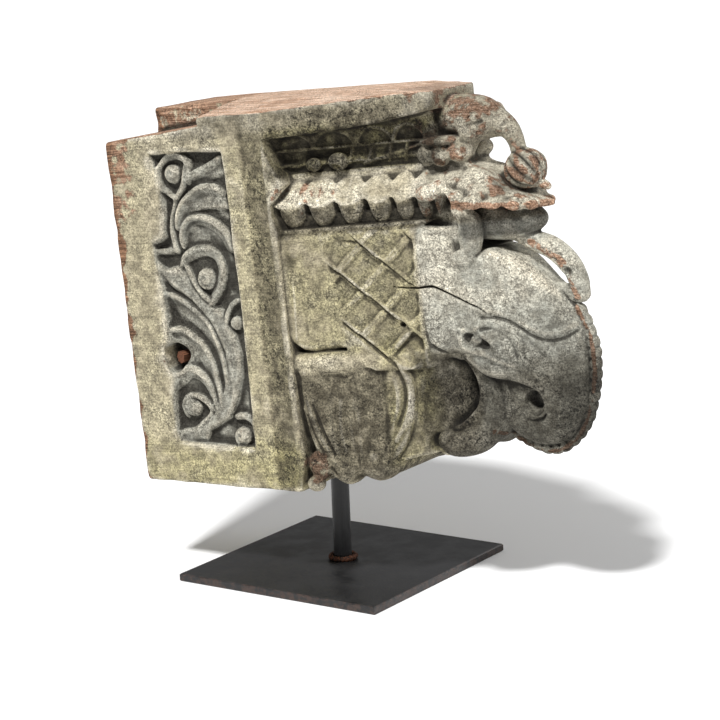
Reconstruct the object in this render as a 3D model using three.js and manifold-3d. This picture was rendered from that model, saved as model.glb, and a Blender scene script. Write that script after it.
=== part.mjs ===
// Carved wooden corbel on a steel stand, in millimetres, +Z up, origin under the middle of the plate.
// The corbel is laid out in its own upright frame (u along it, w across it, v up) and then leaned.
import * as THREE from 'three';
import { mergeVertices } from 'three/addons/utils/BufferGeometryUtils.js';
import Module from 'manifold-3d';

const wasm = await Module();
wasm.setup();

// Stand
const PLATE_SIDE = 180;
const PLATE_THICK = 6;
const PLATE_CHAMFER = 0.8;
const ROD_DIAMETER = 14;
const ROD_TOP = 110;
const WELD_RADIUS = 12;
const WELD_HEIGHT = 4.5;
const FIT_GAP = 0.3;

// Corbel as a whole
const LEAN = THREE.MathUtils.degToRad(5.1);
const FOOT_OF_FRAME = 60;
const WALL_END = -131;
const ARRIS = 16;
const HALF_WIDTH = 70;
const SLAB_END = 140;
const SLAB_END_HALF = 31;
const BODY_END = 146;

// Panel of scrolls
const PANEL_DEPTH = 9;
const SCROLL_TOP = 1.5;
const PEG_U = -91;
const PEG_V = 118;
const PEG_RADIUS = 4.8;
const PEG_HOLE_DEPTH = 24;

// Course of petals
const PETAL_CENTRES = [28, 50, 71, 92, 110, 125];
const PETAL_WIDTHS = [23, 22, 21, 20, 17, 15];
const PETAL_RIM = 229;

// Blanket
const LATTICE_FALL = 0.95;
const FALL_START = 236;
const FALL_STEP = 36.5;
const RISE_START = 57;
const RISE_STEP = 31;

// Crest of the head
const TEETH = 19;
const TOOTH_HEIGHT = 2.6;

const TAPER = (HALF_WIDTH - SLAB_END_HALF) / (SLAB_END - ARRIS);
const TAPER_ANGLE = Math.atan(TAPER);

function toSolid(geometry) {
  const bare = geometry.clone();
  bare.deleteAttribute('normal');
  bare.deleteAttribute('uv');
  const merged = mergeVertices(bare, 1e-4);
  return new wasm.Manifold(new wasm.Mesh({
    numProp: 3,
    vertProperties: new Float32Array(merged.attributes.position.array),
    triVerts: new Uint32Array(merged.index.array),
  }));
}

function outline(points) {
  return new THREE.Shape(points.map(([x, y]) => new THREE.Vector2(x, y)));
}

// A side view (u, v) made thick from w = near to w = far, its edges rounded by bevel.
function side(points, near, far, bevel = 0, bevelSteps = 1) {
  const shape = points.isShape ? points : outline(points);
  const geometry = new THREE.ExtrudeGeometry(shape, {
    depth: far - near - 2 * bevel,
    bevelEnabled: bevel > 0,
    bevelThickness: bevel,
    bevelSize: bevel,
    bevelOffset: -bevel,
    bevelSegments: bevelSteps,
  });
  geometry.rotateX(Math.PI / 2);
  geometry.translate(0, far - bevel, 0);
  return toSolid(geometry);
}

// A plan view (u, w) made tall from v = low to v = high.
function plan(points, low, high) {
  const geometry = new THREE.ExtrudeGeometry(outline(points), { depth: high - low, bevelEnabled: false });
  geometry.translate(0, 0, low);
  return toSolid(geometry);
}

// A cross-section (w, v) run along u.
function section(points, start, end) {
  const geometry = new THREE.ExtrudeGeometry(outline(points), { depth: end - start, bevelEnabled: false });
  geometry.applyMatrix4(new THREE.Matrix4().set(0, 0, 1, start, 1, 0, 0, 0, 0, 1, 0, 0, 0, 0, 0, 1));
  return toSolid(geometry);
}

// A moulding section (depth behind the tapering face, v) run along that face from one u to another.
function moulding(points, start, end) {
  const c = Math.cos(TAPER_ANGLE);
  const s = Math.sin(TAPER_ANGLE);
  const geometry = new THREE.ExtrudeGeometry(outline(points), { depth: (end - start) / c, bevelEnabled: false });
  geometry.applyMatrix4(new THREE.Matrix4().set(
    -s, 0, c, start,
    c, 0, s, faceAt(start),
    0, 1, 0, 0,
    0, 0, 0, 1,
  ));
  return toSolid(geometry);
}

function blob(u, w, v, ru, rw, rv, around = 10, down = 7) {
  const geometry = new THREE.SphereGeometry(1, around, down);
  geometry.rotateX(Math.PI / 2);
  geometry.scale(ru, rw, rv);
  geometry.translate(u, w, v);
  return toSolid(geometry);
}

// A round limb through points [u, w, v, radius]: a turned form bent along its curve.
function limb(points, around = 7, rings = 2 * (points.length - 1)) {
  const curve = new THREE.CatmullRomCurve3(points.map(([u, w, v]) => new THREE.Vector3(u, w, v)));
  const radiusAt = (t) => {
    const place = t * (points.length - 1);
    const i = Math.min(points.length - 2, Math.floor(place));
    return points[i][3] + (points[i + 1][3] - points[i][3]) * (place - i);
  };
  const profile = [new THREE.Vector2(0, 0)];
  for (let i = 0; i <= rings; i += 1) {
    profile.push(new THREE.Vector2(radiusAt(i / rings), i / rings));
  }
  profile.push(new THREE.Vector2(0, 1));
  const geometry = new THREE.LatheGeometry(profile, around);
  const places = geometry.attributes.position;
  const across = new THREE.Vector3(0, 1, 0);
  for (let i = 0; i < places.count; i += 1) {
    const t = THREE.MathUtils.clamp(places.getY(i), 0, 1);
    const tangent = curve.getTangent(t);
    const first = across.clone().addScaledVector(tangent, -across.dot(tangent)).normalize();
    const second = new THREE.Vector3().crossVectors(first, tangent);
    const place = curve.getPoint(t)
      .addScaledVector(first, places.getX(i))
      .addScaledVector(second, places.getZ(i));
    places.setXYZ(i, place.x, place.y, place.z);
  }
  return toSolid(geometry);
}

function join(parts) {
  return parts.reduce((whole, part) => whole.add(part));
}

function bothSides(solid) {
  return solid.add(solid.scale([1, -1, 1]));
}

// Where the near face stands at u: level along the block, then drawing in toward the head.
function faceAt(u) {
  return -HALF_WIDTH + TAPER * Math.max(0, u - ARRIS);
}

// Plan of the whole corbel, drawn in by inset, ending in the keel of the head.
function planOutline(inset, start = WALL_END) {
  const corner = start < ARRIS ? [[ARRIS, HALF_WIDTH - inset]] : [];
  const near = [
    [start, -faceAt(start) - inset],
    ...corner,
    [SLAB_END, SLAB_END_HALF - inset],
    [172, 24 - inset * 0.7],
    [206, 17 - inset * 0.4],
    [232, 8],
    [240, 2.5],
  ];
  return near.concat(near.slice().reverse().map(([u, w]) => [u, -w])).reverse();
}

// A leaf or stem of the scrolls: a band that follows points, its width going from first to last.
function band(points, first, last, steps) {
  const curve = new THREE.SplineCurve(points.map(([u, v]) => new THREE.Vector2(u, v)));
  const left = [];
  const right = [];
  for (let i = 0; i <= steps; i += 1) {
    const t = i / steps;
    const p = curve.getPoint(t);
    const d = curve.getTangent(t);
    const half = (first + (last - first) * t) / 2;
    left.push([p.x - d.y * half, p.y + d.x * half]);
    right.unshift([p.x + d.y * half, p.y - d.x * half]);
  }
  return side(left.concat(right), -HALF_WIDTH + SCROLL_TOP, -HALF_WIDTH + PANEL_DEPTH + 1);
}

// A curled end: a spiral that closes on its middle, turning from angle start through turn degrees.
function curlPath(u, v, outer, inner, start, turn, count = 7) {
  return Array.from({ length: count }, (_, i) => {
    const t = i / (count - 1);
    const a = THREE.MathUtils.degToRad(start + turn * t);
    const r = outer + (inner - outer) * t;
    return [u + r * Math.cos(a), v + r * Math.sin(a)];
  });
}

// The block against the wall, with the slab that runs out over the figure
function blockAndSlab() {
  const blockSide = side([
    [WALL_END, 22.3], [-60, 19.5], [ARRIS, 16.5], [20, 30], [20, 312], [WALL_END, 312],
  ], -HALF_WIDTH, HALF_WIDTH);
  const slabSide = side([
    [ARRIS, 279], [60, 281], [100, 284], [120, 287], [SLAB_END, 290], [SLAB_END, 312], [ARRIS, 312],
  ], -HALF_WIDTH, HALF_WIDTH);
  const sawnTop = section([
    [-HALF_WIDTH, 0], [HALF_WIDTH, 0], [HALF_WIDTH, 304], [35, 306], [0, 307], [-30, 304.5], [-HALF_WIDTH, 299.5],
  ], WALL_END, SLAB_END);
  const topLine = side([
    [WALL_END, 0], [SLAB_END, 0], [SLAB_END, 303], [90, 306], [20, 308], [-60, 306], [WALL_END, 303.5],
  ], -HALF_WIDTH, HALF_WIDTH);
  const ledge = side([
    [WALL_END - 5, 284.3], [-40, 292.5], [-48, 320], [WALL_END - 5, 320],
  ], -HALF_WIDTH - 5, -6);
  return blockSide.add(slabSide)
    .intersect(plan(planOutline(0), 0, 320))
    .intersect(sawnTop)
    .intersect(topLine)
    .subtract(ledge);
}

// The panel sunk in the block's side, and its scrolls of leaves
function panelHollow() {
  return side([
    [-90, 274.5], [-98, 262], [-93, 240], [-97, 205], [-99, 120], [-98, 53], [-24, 49], [-21.5, 160], [-22, 273.5],
  ].reverse(), -HALF_WIDTH - 5, -HALF_WIDTH + PANEL_DEPTH);
}

function scrolls() {
  const hub = (u, v, r) => side(
    curlPath(u, v, r, r, 0, 315, 8), -HALF_WIDTH + SCROLL_TOP, -HALF_WIDTH + PANEL_DEPTH + 1);
  return join([
    band(curlPath(-71, 256, 17, 13, 300, -320), 5, 3.5, 9),
    hub(-69, 256, 8),
    band([[-55, 253], [-42, 256], [-24, 266]], 8, 9, 2),
    band([[-57, 258], [-66, 241], [-75, 222], [-76, 202]], 7, 12, 4),
    band([[-73, 228], [-60, 236], [-42, 239], [-23, 235]], 6, 13, 4),
    band(curlPath(-47, 204, 24, 21, 165, -160), 8, 7, 6),
    band(curlPath(-50, 179, 20, 14, 170, -320), 8, 4, 9),
    hub(-50, 178, 9),
    band([[-92, 187], [-78, 168], [-62, 155], [-48, 138], [-41, 112], [-46, 78]], 12, 9, 7),
    band([[-89, 161], [-72, 155], [-57, 137], [-49, 108]], 10, 7, 5),
    band([[-88, 136], [-72, 130], [-58, 112], [-54, 84]], 8, 7, 5),
    band(curlPath(-80, 82, 25, 15, -60, 300), 8, 5, 10),
    hub(-80, 78, 9.5),
    band([[-97, 56], [-72, 60], [-52, 66], [-38, 68], [-27, 58]], 7, 6, 5),
    hub(-36, 58, 8),
    band(curlPath(-30, 141, 13, 9, 150, -250), 8, 4, 6),
  ]);
}

// The worn peg hole in the panel
function pegHole() {
  const rim = curlPath(PEG_U, PEG_V, 9, 9, 0, 315, 8).map(([u, v]) => [u, PEG_V + (v - PEG_V) * 1.3]);
  return side(rim, -HALF_WIDTH - 5, -HALF_WIDTH + PEG_HOLE_DEPTH);
}

// Deep cove with its ribs and buds, the petals under it, and the fillet below them
function cove() {
  const back = moulding([[18, 205], [40, 205], [60, 296], [10, 296], [10, 282], [16, 270], [19, 257]], ARRIS - 4, 134);
  const step = moulding([[13, 246], [30, 246], [30, 260], [16, 259]], ARRIS - 2, 130);
  const ribs = [72, 86, 99, 112].map((u) => moulding([[12, 254], [24, 254], [24, 283], [9, 283]], u, u + 3.5));
  const buds = [[45, 258, 6], [63, 259, 7]].map(([u, v, r]) => blob(u - 3, faceAt(u) + 13, v, r, r, r, 6, 4));
  return join([back, step, ...ribs, ...buds]);
}

function petals() {
  const bed = moulding([[14, 206], [44, 206], [44, 252], [20, 252], [5, 236], [5, 226]], ARRIS - 2, 138);
  const lobes = PETAL_CENTRES.map((u, i) => {
    const half = PETAL_WIDTHS[i] / 2 - 0.5;
    return limb([
      [u - 3, faceAt(u) + 22, PETAL_RIM + 23, 1.5],
      [u - 1, faceAt(u) + 13, PETAL_RIM + 10, half],
      [u, faceAt(u) + 10, PETAL_RIM - 2, half],
      [u + 1, faceAt(u) + 14, PETAL_RIM - 18, 2.5],
    ], 7, 3);
  });
  const fillet = moulding([[6, 207.5], [30, 207.5], [30, 211.5], [6, 211.5]], ARRIS + 2, 122);
  return join([bed, fillet, ...lobes]);
}

// The beast's body under its quilted blanket
function body() {
  const flank = side([
    [22, 133], [26, 125], [34, 121], [62, 121], [92, 108], [118, 110], [BODY_END, 112],
    [BODY_END, 204], [118, 207.2], [60, 208.4], [34, 204.3], [24, 197],
  ], -HALF_WIDTH, 0);
  const rounding = plan([
    [ARRIS, 0], [18, -48], [23, -58], [31, -62.5], [44, faceAt(44) + 2],
    [118, faceAt(118) + 1.5], [121, faceAt(121) + 4], [BODY_END, faceAt(BODY_END) + 3], [BODY_END, 0],
  ], 100, 212);
  return flank.intersect(rounding);
}

// Raised pads between the crossing bands of the blanket
function pads() {
  const cells = [
    [0.5, 1.5], [0.5, 0.5], [-0.5, 0.5], [-0.5, -0.5], [-0.5, -1.5], [0.5, -0.5],
  ];
  return join(cells.map(([fall, rise]) => {
    const c = FALL_START + FALL_STEP * fall;
    const d = RISE_START + RISE_STEP * rise;
    const u = (c - d) / (1 + LATTICE_FALL);
    const v = d + u;
    const w = faceAt(u);
    return side([[u - 11, v], [u, v - 11], [u + 11, v], [u, v + 11]], w - 1, w + 12);
  }));
}

// Roll, beads and the fluted foot below the body
function foot() {
  const roll = limb([[23, faceAt(26) + 12, 110.5, 9.5], [66, faceAt(64) + 12, 110.5, 9.5]], 8, 1);
  const beads = [29, 42, 56].map((u) => blob(u, faceAt(u) + 8, 104, 7, 8, 6, 6, 4));
  const shaft = side([
    [22, 122], [23, 75], [28, 52], [36, 37], [42, 27], [59, 27], [80, 28], [84, 34],
    [82, 60], [80, 100], [96, 112], [60, 122],
  ], -HALF_WIDTH, 0).intersect(plan([
    [ARRIS, 0], [19, -52], [25, -60], [34, -62], [50, faceAt(50) + 4], [100, faceAt(100) + 5], [100, 0],
  ], 0, 130));
  const flutes = [[33, 26], [46, 30], [58, 34], [70, 36]].map(([u, low]) => limb([
    [u + 2, faceAt(u) + 9, 98, 5], [u + 1, faceAt(u) + 9, 60, 7.5], [u + 5, faceAt(u) + 11, low + 6, 6],
  ], 6, 2));
  const toes = [
    blob(49, faceAt(49) + 13, 31, 11, 13, 11, 8, 5),
    blob(72, faceAt(72) + 13, 33, 13, 13, 10.5, 8, 5),
  ];
  const boss = blob(71, faceAt(71) + 3, 40, 5, 4, 5, 6, 4);
  const core = side([
    [ARRIS - 4, 20], [30, 22], [36, 30], [90, 35], [100, 37.5], [120, 41.5], [124, 118], [ARRIS - 4, 120],
  ], -HALF_WIDTH, 0).intersect(plan([
    [ARRIS - 4, 0], [ARRIS - 4, -56], [30, -50], [98, faceAt(98) + 9], [124, faceAt(124) + 9], [124, 0],
  ], 0, 130));
  const scrap = side([
    [14, 17.5], [24, 16], [31, 17.5], [35, 25], [41, 27], [30, 46], [18, 42],
  ], -HALF_WIDTH + 1, -30);
  return join([core, shaft, roll, scrap, boss, ...beads, ...flutes, ...toes]);
}

function leaf() {
  const blade = side([
    [88, 50], [99, 64], [104, 78], [104, 92], [100, 103], [95, 114], [84, 103], [79, 92], [80, 66],
  ], faceAt(90) - 1, faceAt(90) + 22, 3);
  const stalk = limb([[95, faceAt(95) + 8, 60, 7], [84, faceAt(84) + 10, 44, 9]], 6, 1);
  return blade.add(stalk);
}

// The bowed head: cheek, trunk that curls back under it, crest, eye and tusk socket
const CREST_LINE = [
  [228, 141], [234, 129], [237.4, 117], [237.6, 101], [235.6, 85], [231.6, 71],
  [226, 58], [217, 47], [206, 39], [196, 36], [187, 37], [178, 40.5], [168, 46.5], [159.5, 53.5],
];

function crest() {
  const curve = new THREE.SplineCurve(CREST_LINE.map(([u, v]) => new THREE.Vector2(u, v)));
  const edge = [];
  for (let i = 0; i < TEETH; i += 1) {
    [[0, 0], [0.6, TOOTH_HEIGHT], [0.92, TOOTH_HEIGHT * 0.7]].forEach(([step, rise]) => {
      const t = (i + step) / TEETH;
      const p = curve.getPoint(t);
      const d = curve.getTangent(t);
      edge.push([p.x - d.y * rise, p.y + d.x * rise]);
    });
  }
  return side([...edge, [159.5, 53.5], [170, 80], [200, 120]], -3.5, 3.5);
}

function head() {
  const face = side([
    [116, 204], [142, 200], [148, 190], [156, 186], [170, 187.5], [180, 184], [190, 179.5], [199, 172], [210, 162],
    [219, 154], [228, 141], [234, 127], [236.5, 110], [234.5, 87], [228, 66], [216, 49], [202, 40.5], [188, 39],
    [174, 45], [162, 55], [168, 78], [167, 93], [158, 98], [148, 106], [139, 114], [116, 112],
  ], -48, 48);
  const chin = section([
    [-3, 36], [-9, 46], [-15, 60], [-22, 84], [-50, 130], [-50, 215],
    [50, 215], [50, 130], [22, 84], [15, 60], [9, 46], [3, 36],
  ], 100, 250);
  const trunk = side([
    [116, 118], [150, 118], [175, 96], [172, 62], [166, 57], [158, 51], [147, 43.5], [136, 38],
    [125, 36.5], [116, 41.5],
  ], -48, 48);
  const cheek = face.intersect(plan(planOutline(1, 100), 0, 220)).intersect(chin);
  const under = side([
    [150, 60], [190, 60], [204, 66], [207, 78], [202, 86], [190, 92], [168, 97], [150, 104],
  ], -60, faceAt(172) + 12);
  const core = trunk.intersect(plan(planOutline(8, 100), 0, 220));
  const hollow = side([
    [121, 60], [131, 57], [140, 61], [146, 70], [148, 82], [144, 92], [134, 99], [124, 101],
  ], -60, -9);
  const socket = side(curlPath(191, 77, 8.5, 8.5, 0, 324, 10), -60, -3);
  const curl = limb([
    [162, -17, 63, 7], [152, -22, 53, 8.5], [140, -26, 46, 8], [128, -30, 45, 8], [123, -31, 50, 6],
  ], 7, 5);
  return {
    add: join([cheek, core, crest(), bothSides(curl)]),
    cut: join([hollow, socket, under.intersect(plan(planOutline(0, 100), 0, 220)).intersect(socketField())]),
  };
}

// The shaded field around the tusk socket is sunk a little below the cheek.
function socketField() {
  const near = [[150, -80], [150, faceAt(150) + 9], [172, -17], [206, -12], [212, -20], [212, -80]];
  return plan(near, 0, 220);
}

function brow() {
  const lid = limb([[160, -24, 137, 3], [176, -21, 134, 4], [190, -18, 124, 3]], 6, 3);
  const ball = blob(161, -23, 121, 9, 5, 8, 6, 4);
  const lip = limb([[150, -26, 116, 3], [163, -24, 108, 3.5], [180, -20, 98, 3.5], [197, -16, 87, 3]], 6, 3);
  return join([lid, ball, lip]);
}

// Leaf canopy over the head, and the horned limb that springs from under it
function canopy() {
  const cap = side([
    [112, 232], [118, 247], [126, 262], [150, 260], [158, 248], [167, 245], [178, 240], [190, 230], [204, 222],
    [217, 217], [206, 214], [196, 212], [186, 215], [178, 212], [168, 212], [160, 216], [148, 219], [138, 230],
  ], -40, 40).intersect(plan([
    [108, -36], [140, -36], [162, -37], [184, -29], [206, -12], [218, -1.5],
    [218, 1.5], [206, 12], [184, 29], [162, 37], [140, 36], [108, 36],
  ], 200, 270)).intersect(section([
    [-40, 200], [40, 200], [40, 222], [17, 246], [15, 270], [-15, 270], [-17, 246], [-40, 222],
  ], 100, 220));
  const underside = blob(172, 0, 206, 36, 22, 15, 8, 6);
  const knee = limb([[138, -27, 218, 6], [146, -25, 204, 7], [153, -20, 194, 9]], 7, 2);
  const neck = side([[112, 190], [150, 190], [160, 215], [150, 235], [112, 250]], -14, 14);
  const horn = limb([
    [178, 0, 200, 6], [197, 0, 190, 7], [211, 0, 185, 8], [222, 0, 175, 8], [229, 0, 163, 7.5], [232, 0, 151, 6.5],
  ], 8, 7);
  const strut = limb([[214, 0, 160, 4], [226, 0, 152, 6]], 6, 1);
  return join([cap, underside, bothSides(knee), neck, horn, strut]);
}

// The little beast on the canopy, with the fruit that its trunk holds
function littleBeast() {
  const back = side([
    [115, 258], [117, 277], [122, 288], [132, 294], [142, 297], [162, 297], [172, 294],
    [178, 286], [178, 274], [172, 263], [158, 263], [152, 257], [140, 256],
  ], -14, 14, 4);
  const trunk = limb([[172, 0, 284, 10.5], [183, 0, 275, 8.5], [190, 0, 265, 7], [191, 0, 252, 6]], 8, 5);
  const fruit = blob(195.5, 0, 241.5, 16.5, 16, 15.5, 10, 7);
  const stem = limb([[204, 0, 233, 4], [213, 0, 229, 3]], 6, 1);
  const anklet = bothSides(blob(134, -12, 263.5, 18, 11, 5, 8, 4));
  const feet = bothSides(join([
    blob(127, -12, 253, 13, 10, 8, 6, 5),
    blob(146, -10, 253, 11, 10, 8, 6, 5),
  ]));
  return join([back, trunk, fruit, stem, anklet, feet]);
}

// The knob on the body's back edge, and the tail below it
function knob() {
  const ball = blob(30, faceAt(30) + 6, 194, 7.5, 7.5, 7.5, 7, 5);
  const tail = limb([[27, -60, 184, 3.5], [25, -61, 140, 3.5]], 6, 1);
  return ball.add(tail);
}

function corbelSolid() {
  const { add, cut } = head();
  const relief = join([scrolls(), cove(), petals(), body(), pads(), foot(), leaf(), brow(), knob()]);
  const envelope = plan(planOutline(-1.5), 0, 320);
  return blockAndSlab()
    .subtract(bothSides(panelHollow()))
    .add(bothSides(relief.intersect(envelope)))
    .add(add)
    .subtract(bothSides(cut))
    .subtract(pegHole())
    .add(canopy())
    .add(littleBeast());
}

// Lean the corbel as it is mounted, then bore it for the rod.
function leaned(solid) {
  return solid.rotate([0, -THREE.MathUtils.radToDeg(LEAN), 0]).translate([0, 0, FOOT_OF_FRAME]);
}

function cylinderAt(radius, low, high, around) {
  const geometry = new THREE.CylinderGeometry(radius, radius, high - low, around);
  geometry.rotateX(Math.PI / 2);
  geometry.translate(0, 0, (low + high) / 2);
  return geometry;
}

function toGeometry(solid) {
  const mesh = solid.getMesh();
  const geometry = new THREE.BufferGeometry();
  geometry.setAttribute('position', new THREE.BufferAttribute(new Float32Array(mesh.vertProperties), 3));
  geometry.setIndex(new THREE.BufferAttribute(new Uint32Array(mesh.triVerts), 1));
  return geometry;
}

const socket = toSolid(cylinderAt(ROD_DIAMETER / 2 + FIT_GAP, 40, ROD_TOP + FIT_GAP, 24));
const corbel = leaned(corbelSolid()).subtract(socket);

// The broken peg left in its hole, split off short at a slant
function pegSolid() {
  const inner = -HALF_WIDTH + PEG_HOLE_DEPTH - FIT_GAP;
  const stick = side(curlPath(PEG_U, PEG_V - 1, PEG_RADIUS, PEG_RADIUS, 20, 300, 7), inner - 19, inner);
  const slant = plan([
    [PEG_U - 9, inner - 25], [PEG_U + 9, inner - 25], [PEG_U + 9, inner - 17], [PEG_U - 9, inner - 11],
  ], PEG_V - 12, PEG_V + 12);
  return stick.subtract(slant);
}

function plateGeometry() {
  const half = PLATE_SIDE / 2;
  const c = PLATE_CHAMFER;
  const square = outline([[-half, -half], [half, -half], [half, half], [-half, half]]);
  return new THREE.ExtrudeGeometry(square, {
    depth: PLATE_THICK - 2 * c,
    bevelEnabled: true,
    bevelThickness: c,
    bevelSize: c,
    bevelOffset: -c,
    bevelSegments: 1,
  }).translate(0, 0, c);
}

// The bead of weld that rings the rod's foot
function weldGeometry() {
  const inner = ROD_DIAMETER / 2 + FIT_GAP;
  const low = PLATE_THICK + FIT_GAP;
  const profile = [
    [inner, low], [WELD_RADIUS, low], [WELD_RADIUS - 0.8, low + 1.4],
    [inner + 1.4, low + WELD_HEIGHT - 1], [inner, low + WELD_HEIGHT], [inner, low],
  ].map(([r, z]) => new THREE.Vector2(r, z));
  return new THREE.LatheGeometry(profile, 20).rotateX(Math.PI / 2);
}

const weathered = new THREE.MeshStandardMaterial({ color: 0x8f9078, roughness: 0.92, metalness: 0 });
const brownPeg = new THREE.MeshStandardMaterial({ color: 0x5e3a26, roughness: 0.9, metalness: 0 });
const blackSteel = new THREE.MeshStandardMaterial({ color: 0x2b2c2d, roughness: 0.42, metalness: 0.85 });
const rustyWeld = new THREE.MeshStandardMaterial({ color: 0x3a2218, roughness: 0.8, metalness: 0.6 });

const model = new THREE.Group();

function addMesh(name, geometry, material) {
  const mesh = new THREE.Mesh(geometry, material);
  mesh.name = name;
  model.add(mesh);
}

addMesh('corbel', toGeometry(corbel), weathered);
addMesh('peg', toGeometry(leaned(pegSolid())), brownPeg);
addMesh('base_plate', plateGeometry(), blackSteel);
addMesh('rod', cylinderAt(ROD_DIAMETER / 2, PLATE_THICK + FIT_GAP, ROD_TOP, 24), blackSteel);
addMesh('weld', weldGeometry(), rustyWeld);

export default model;
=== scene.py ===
"""Carved wooden corbel on a steel stand: the looks, in metres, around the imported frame."""

import math

import bpy
import numpy as np
from mathutils import Matrix, Vector


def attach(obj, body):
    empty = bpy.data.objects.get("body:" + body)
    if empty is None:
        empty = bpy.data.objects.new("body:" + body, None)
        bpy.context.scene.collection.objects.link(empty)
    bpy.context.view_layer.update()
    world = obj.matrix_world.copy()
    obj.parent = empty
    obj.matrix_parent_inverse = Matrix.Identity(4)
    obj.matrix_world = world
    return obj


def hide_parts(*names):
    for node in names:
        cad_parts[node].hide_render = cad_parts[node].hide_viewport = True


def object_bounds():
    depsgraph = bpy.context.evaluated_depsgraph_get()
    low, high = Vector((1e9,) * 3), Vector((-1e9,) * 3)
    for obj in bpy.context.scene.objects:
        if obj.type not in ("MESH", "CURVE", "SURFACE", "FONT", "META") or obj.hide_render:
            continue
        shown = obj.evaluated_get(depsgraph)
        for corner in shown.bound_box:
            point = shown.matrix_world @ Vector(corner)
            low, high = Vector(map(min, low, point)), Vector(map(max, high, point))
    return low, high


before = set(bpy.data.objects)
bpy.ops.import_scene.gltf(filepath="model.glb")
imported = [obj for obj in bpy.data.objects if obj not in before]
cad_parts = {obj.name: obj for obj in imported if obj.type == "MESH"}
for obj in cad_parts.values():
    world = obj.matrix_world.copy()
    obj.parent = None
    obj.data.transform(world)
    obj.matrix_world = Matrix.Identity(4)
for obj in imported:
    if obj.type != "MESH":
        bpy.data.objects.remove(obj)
cad_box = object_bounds()

# Camera: a long lens on the carved side, a third of the way round toward the head
camera_place = Vector((1.0780, -1.5113, 0.5698))
camera_aim = Vector((0.0877, -0.0921, 0.1900))
CAMERA_ROLL = math.radians(-2.32)

camera = bpy.data.objects.new("camera", bpy.data.cameras.new("camera"))
camera.data.lens = 125
camera.data.sensor_width = 36
camera.data.clip_end = 20
look = (camera_aim - camera_place).to_track_quat("-Z", "Y")
camera.matrix_world = (
    Matrix.Translation(camera_place)
    @ look.to_matrix().to_4x4()
    @ Matrix.Rotation(CAMERA_ROLL, 4, "Z")
)
bpy.context.scene.collection.objects.link(camera)
bpy.context.scene.camera = camera

# Corbel: one block of hardwood, carved alike on both sides, sawn at the wall end and on top.
# It is worked out in its own upright frame (u along, w across, v up, millimetres) as a field of
# distances to its surface, and the surface is then drawn through the field.
LEAN = math.radians(5.1)
FRAME_FOOT = 60.0
WALL_END, ARRIS, SLAB_END, BODY_END = -131.0, 16.0, 140.0, 146.0
HALF_WIDTH, SLAB_END_HALF = 70.0, 31.0
TAPER = (HALF_WIDTH - SLAB_END_HALF) / (SLAB_END - ARRIS)
VOXEL = 1.0
MARGIN = 6.0
LOWEST_U, HIGHEST_U, LOWEST_V, HIGHEST_V, WIDEST_W = -137.0, 247.0, 8.0, 315.0, 78
OPEN_AIR = 40.0

us = np.arange(LOWEST_U, HIGHEST_U, VOXEL)
vs = np.arange(LOWEST_V, HIGHEST_V, VOXEL)
ws = -(np.arange(int(WIDEST_W / VOXEL)) + 0.5)[::-1] * VOXEL
field = np.full((len(us), len(ws), len(vs)), OPEN_AIR, np.float32)
side_u, side_v = us[:, None], vs[None, :]


def face_at(u):
    """The near face's w: level along the block, then drawing in toward the head."""
    return -HALF_WIDTH + TAPER * np.maximum(0, u - ARRIS)


def smooth_min(a, b, blend):
    """The lesser of two distances, rounded over blend where they meet."""
    h = np.clip(0.5 + 0.5 * (b - a) / blend, 0, 1)
    return b + (a - b) * h - blend * h * (1 - h)


def smooth_max(a, b, blend):
    return -smooth_min(-a, -b, blend)


def step(low, high, x):
    """0 up to low, 1 from high on, and an easy curve between; turned round where low is the higher."""
    t = np.clip((x - low) / (high - low), 0, 1)
    return t * t * (3 - 2 * t)


def spline(points, steps=8, closed=False):
    """A smooth curve through points, as many short lines."""
    p = np.array(points, float)
    if closed:
        p = np.vstack([p[-1], p, p[0], p[1]])
    else:
        p = np.vstack([2 * p[0] - p[1], p, 2 * p[-1] - p[-2]])
    out = []
    for a, b, c, d in zip(p, p[1:], p[2:], p[3:]):
        for t in np.arange(steps) / steps:
            out.append(
                0.5 * (2 * b + (c - a) * t + (2 * a - 5 * b + 4 * c - d) * t ** 2
                       + (3 * b - a - 3 * c + d) * t ** 3)
            )
    if not closed:
        out.append(p[-2])
    return np.array(out)


def outline(x, y, points):
    """Distance to a closed outline, less than nothing inside it."""
    nearest = np.full(np.broadcast(x, y).shape, 1e9)
    inside = np.zeros(nearest.shape, bool)
    for (x0, y0), (x1, y1) in zip(points, np.roll(points, -1, axis=0)):
        ex, ey = x1 - x0, y1 - y0
        t = np.clip(((x - x0) * ex + (y - y0) * ey) / (ex * ex + ey * ey + 1e-9), 0, 1)
        nearest = np.minimum(nearest, (x - x0 - t * ex) ** 2 + (y - y0 - t * ey) ** 2)
        if ey:
            inside ^= ((y0 > y) != (y1 > y)) & (x < (y - y0) * ex / ey + x0)
    return np.where(inside, -1, 1) * np.sqrt(nearest)


def stroke(x, y, points):
    """Signed distance aside from a line through points, and how far along it, from 0 to 1."""
    points = np.array(points, float)
    spans = np.linalg.norm(np.diff(points, axis=0), axis=1)
    starts = np.concatenate([[0], np.cumsum(spans)[:-1]])
    nearest = np.full(np.broadcast(x, y).shape, 1e9)
    aside, along = np.zeros_like(nearest), np.zeros_like(nearest)
    for (x0, y0), (x1, y1), span, start in zip(points, points[1:], spans, starts):
        ex, ey = (x1 - x0) / span, (y1 - y0) / span
        t = np.clip((x - x0) * ex + (y - y0) * ey, 0, span)
        dx, dy = x - x0 - t * ex, y - y0 - t * ey
        d = np.sqrt(dx * dx + dy * dy)
        closer = d < nearest
        nearest = np.where(closer, d, nearest)
        aside = np.where(closer, np.where(ex * dy - ey * dx < 0, -d, d), aside)
        along = np.where(closer, (start + t) / spans.sum(), along)
    return aside, along


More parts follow.
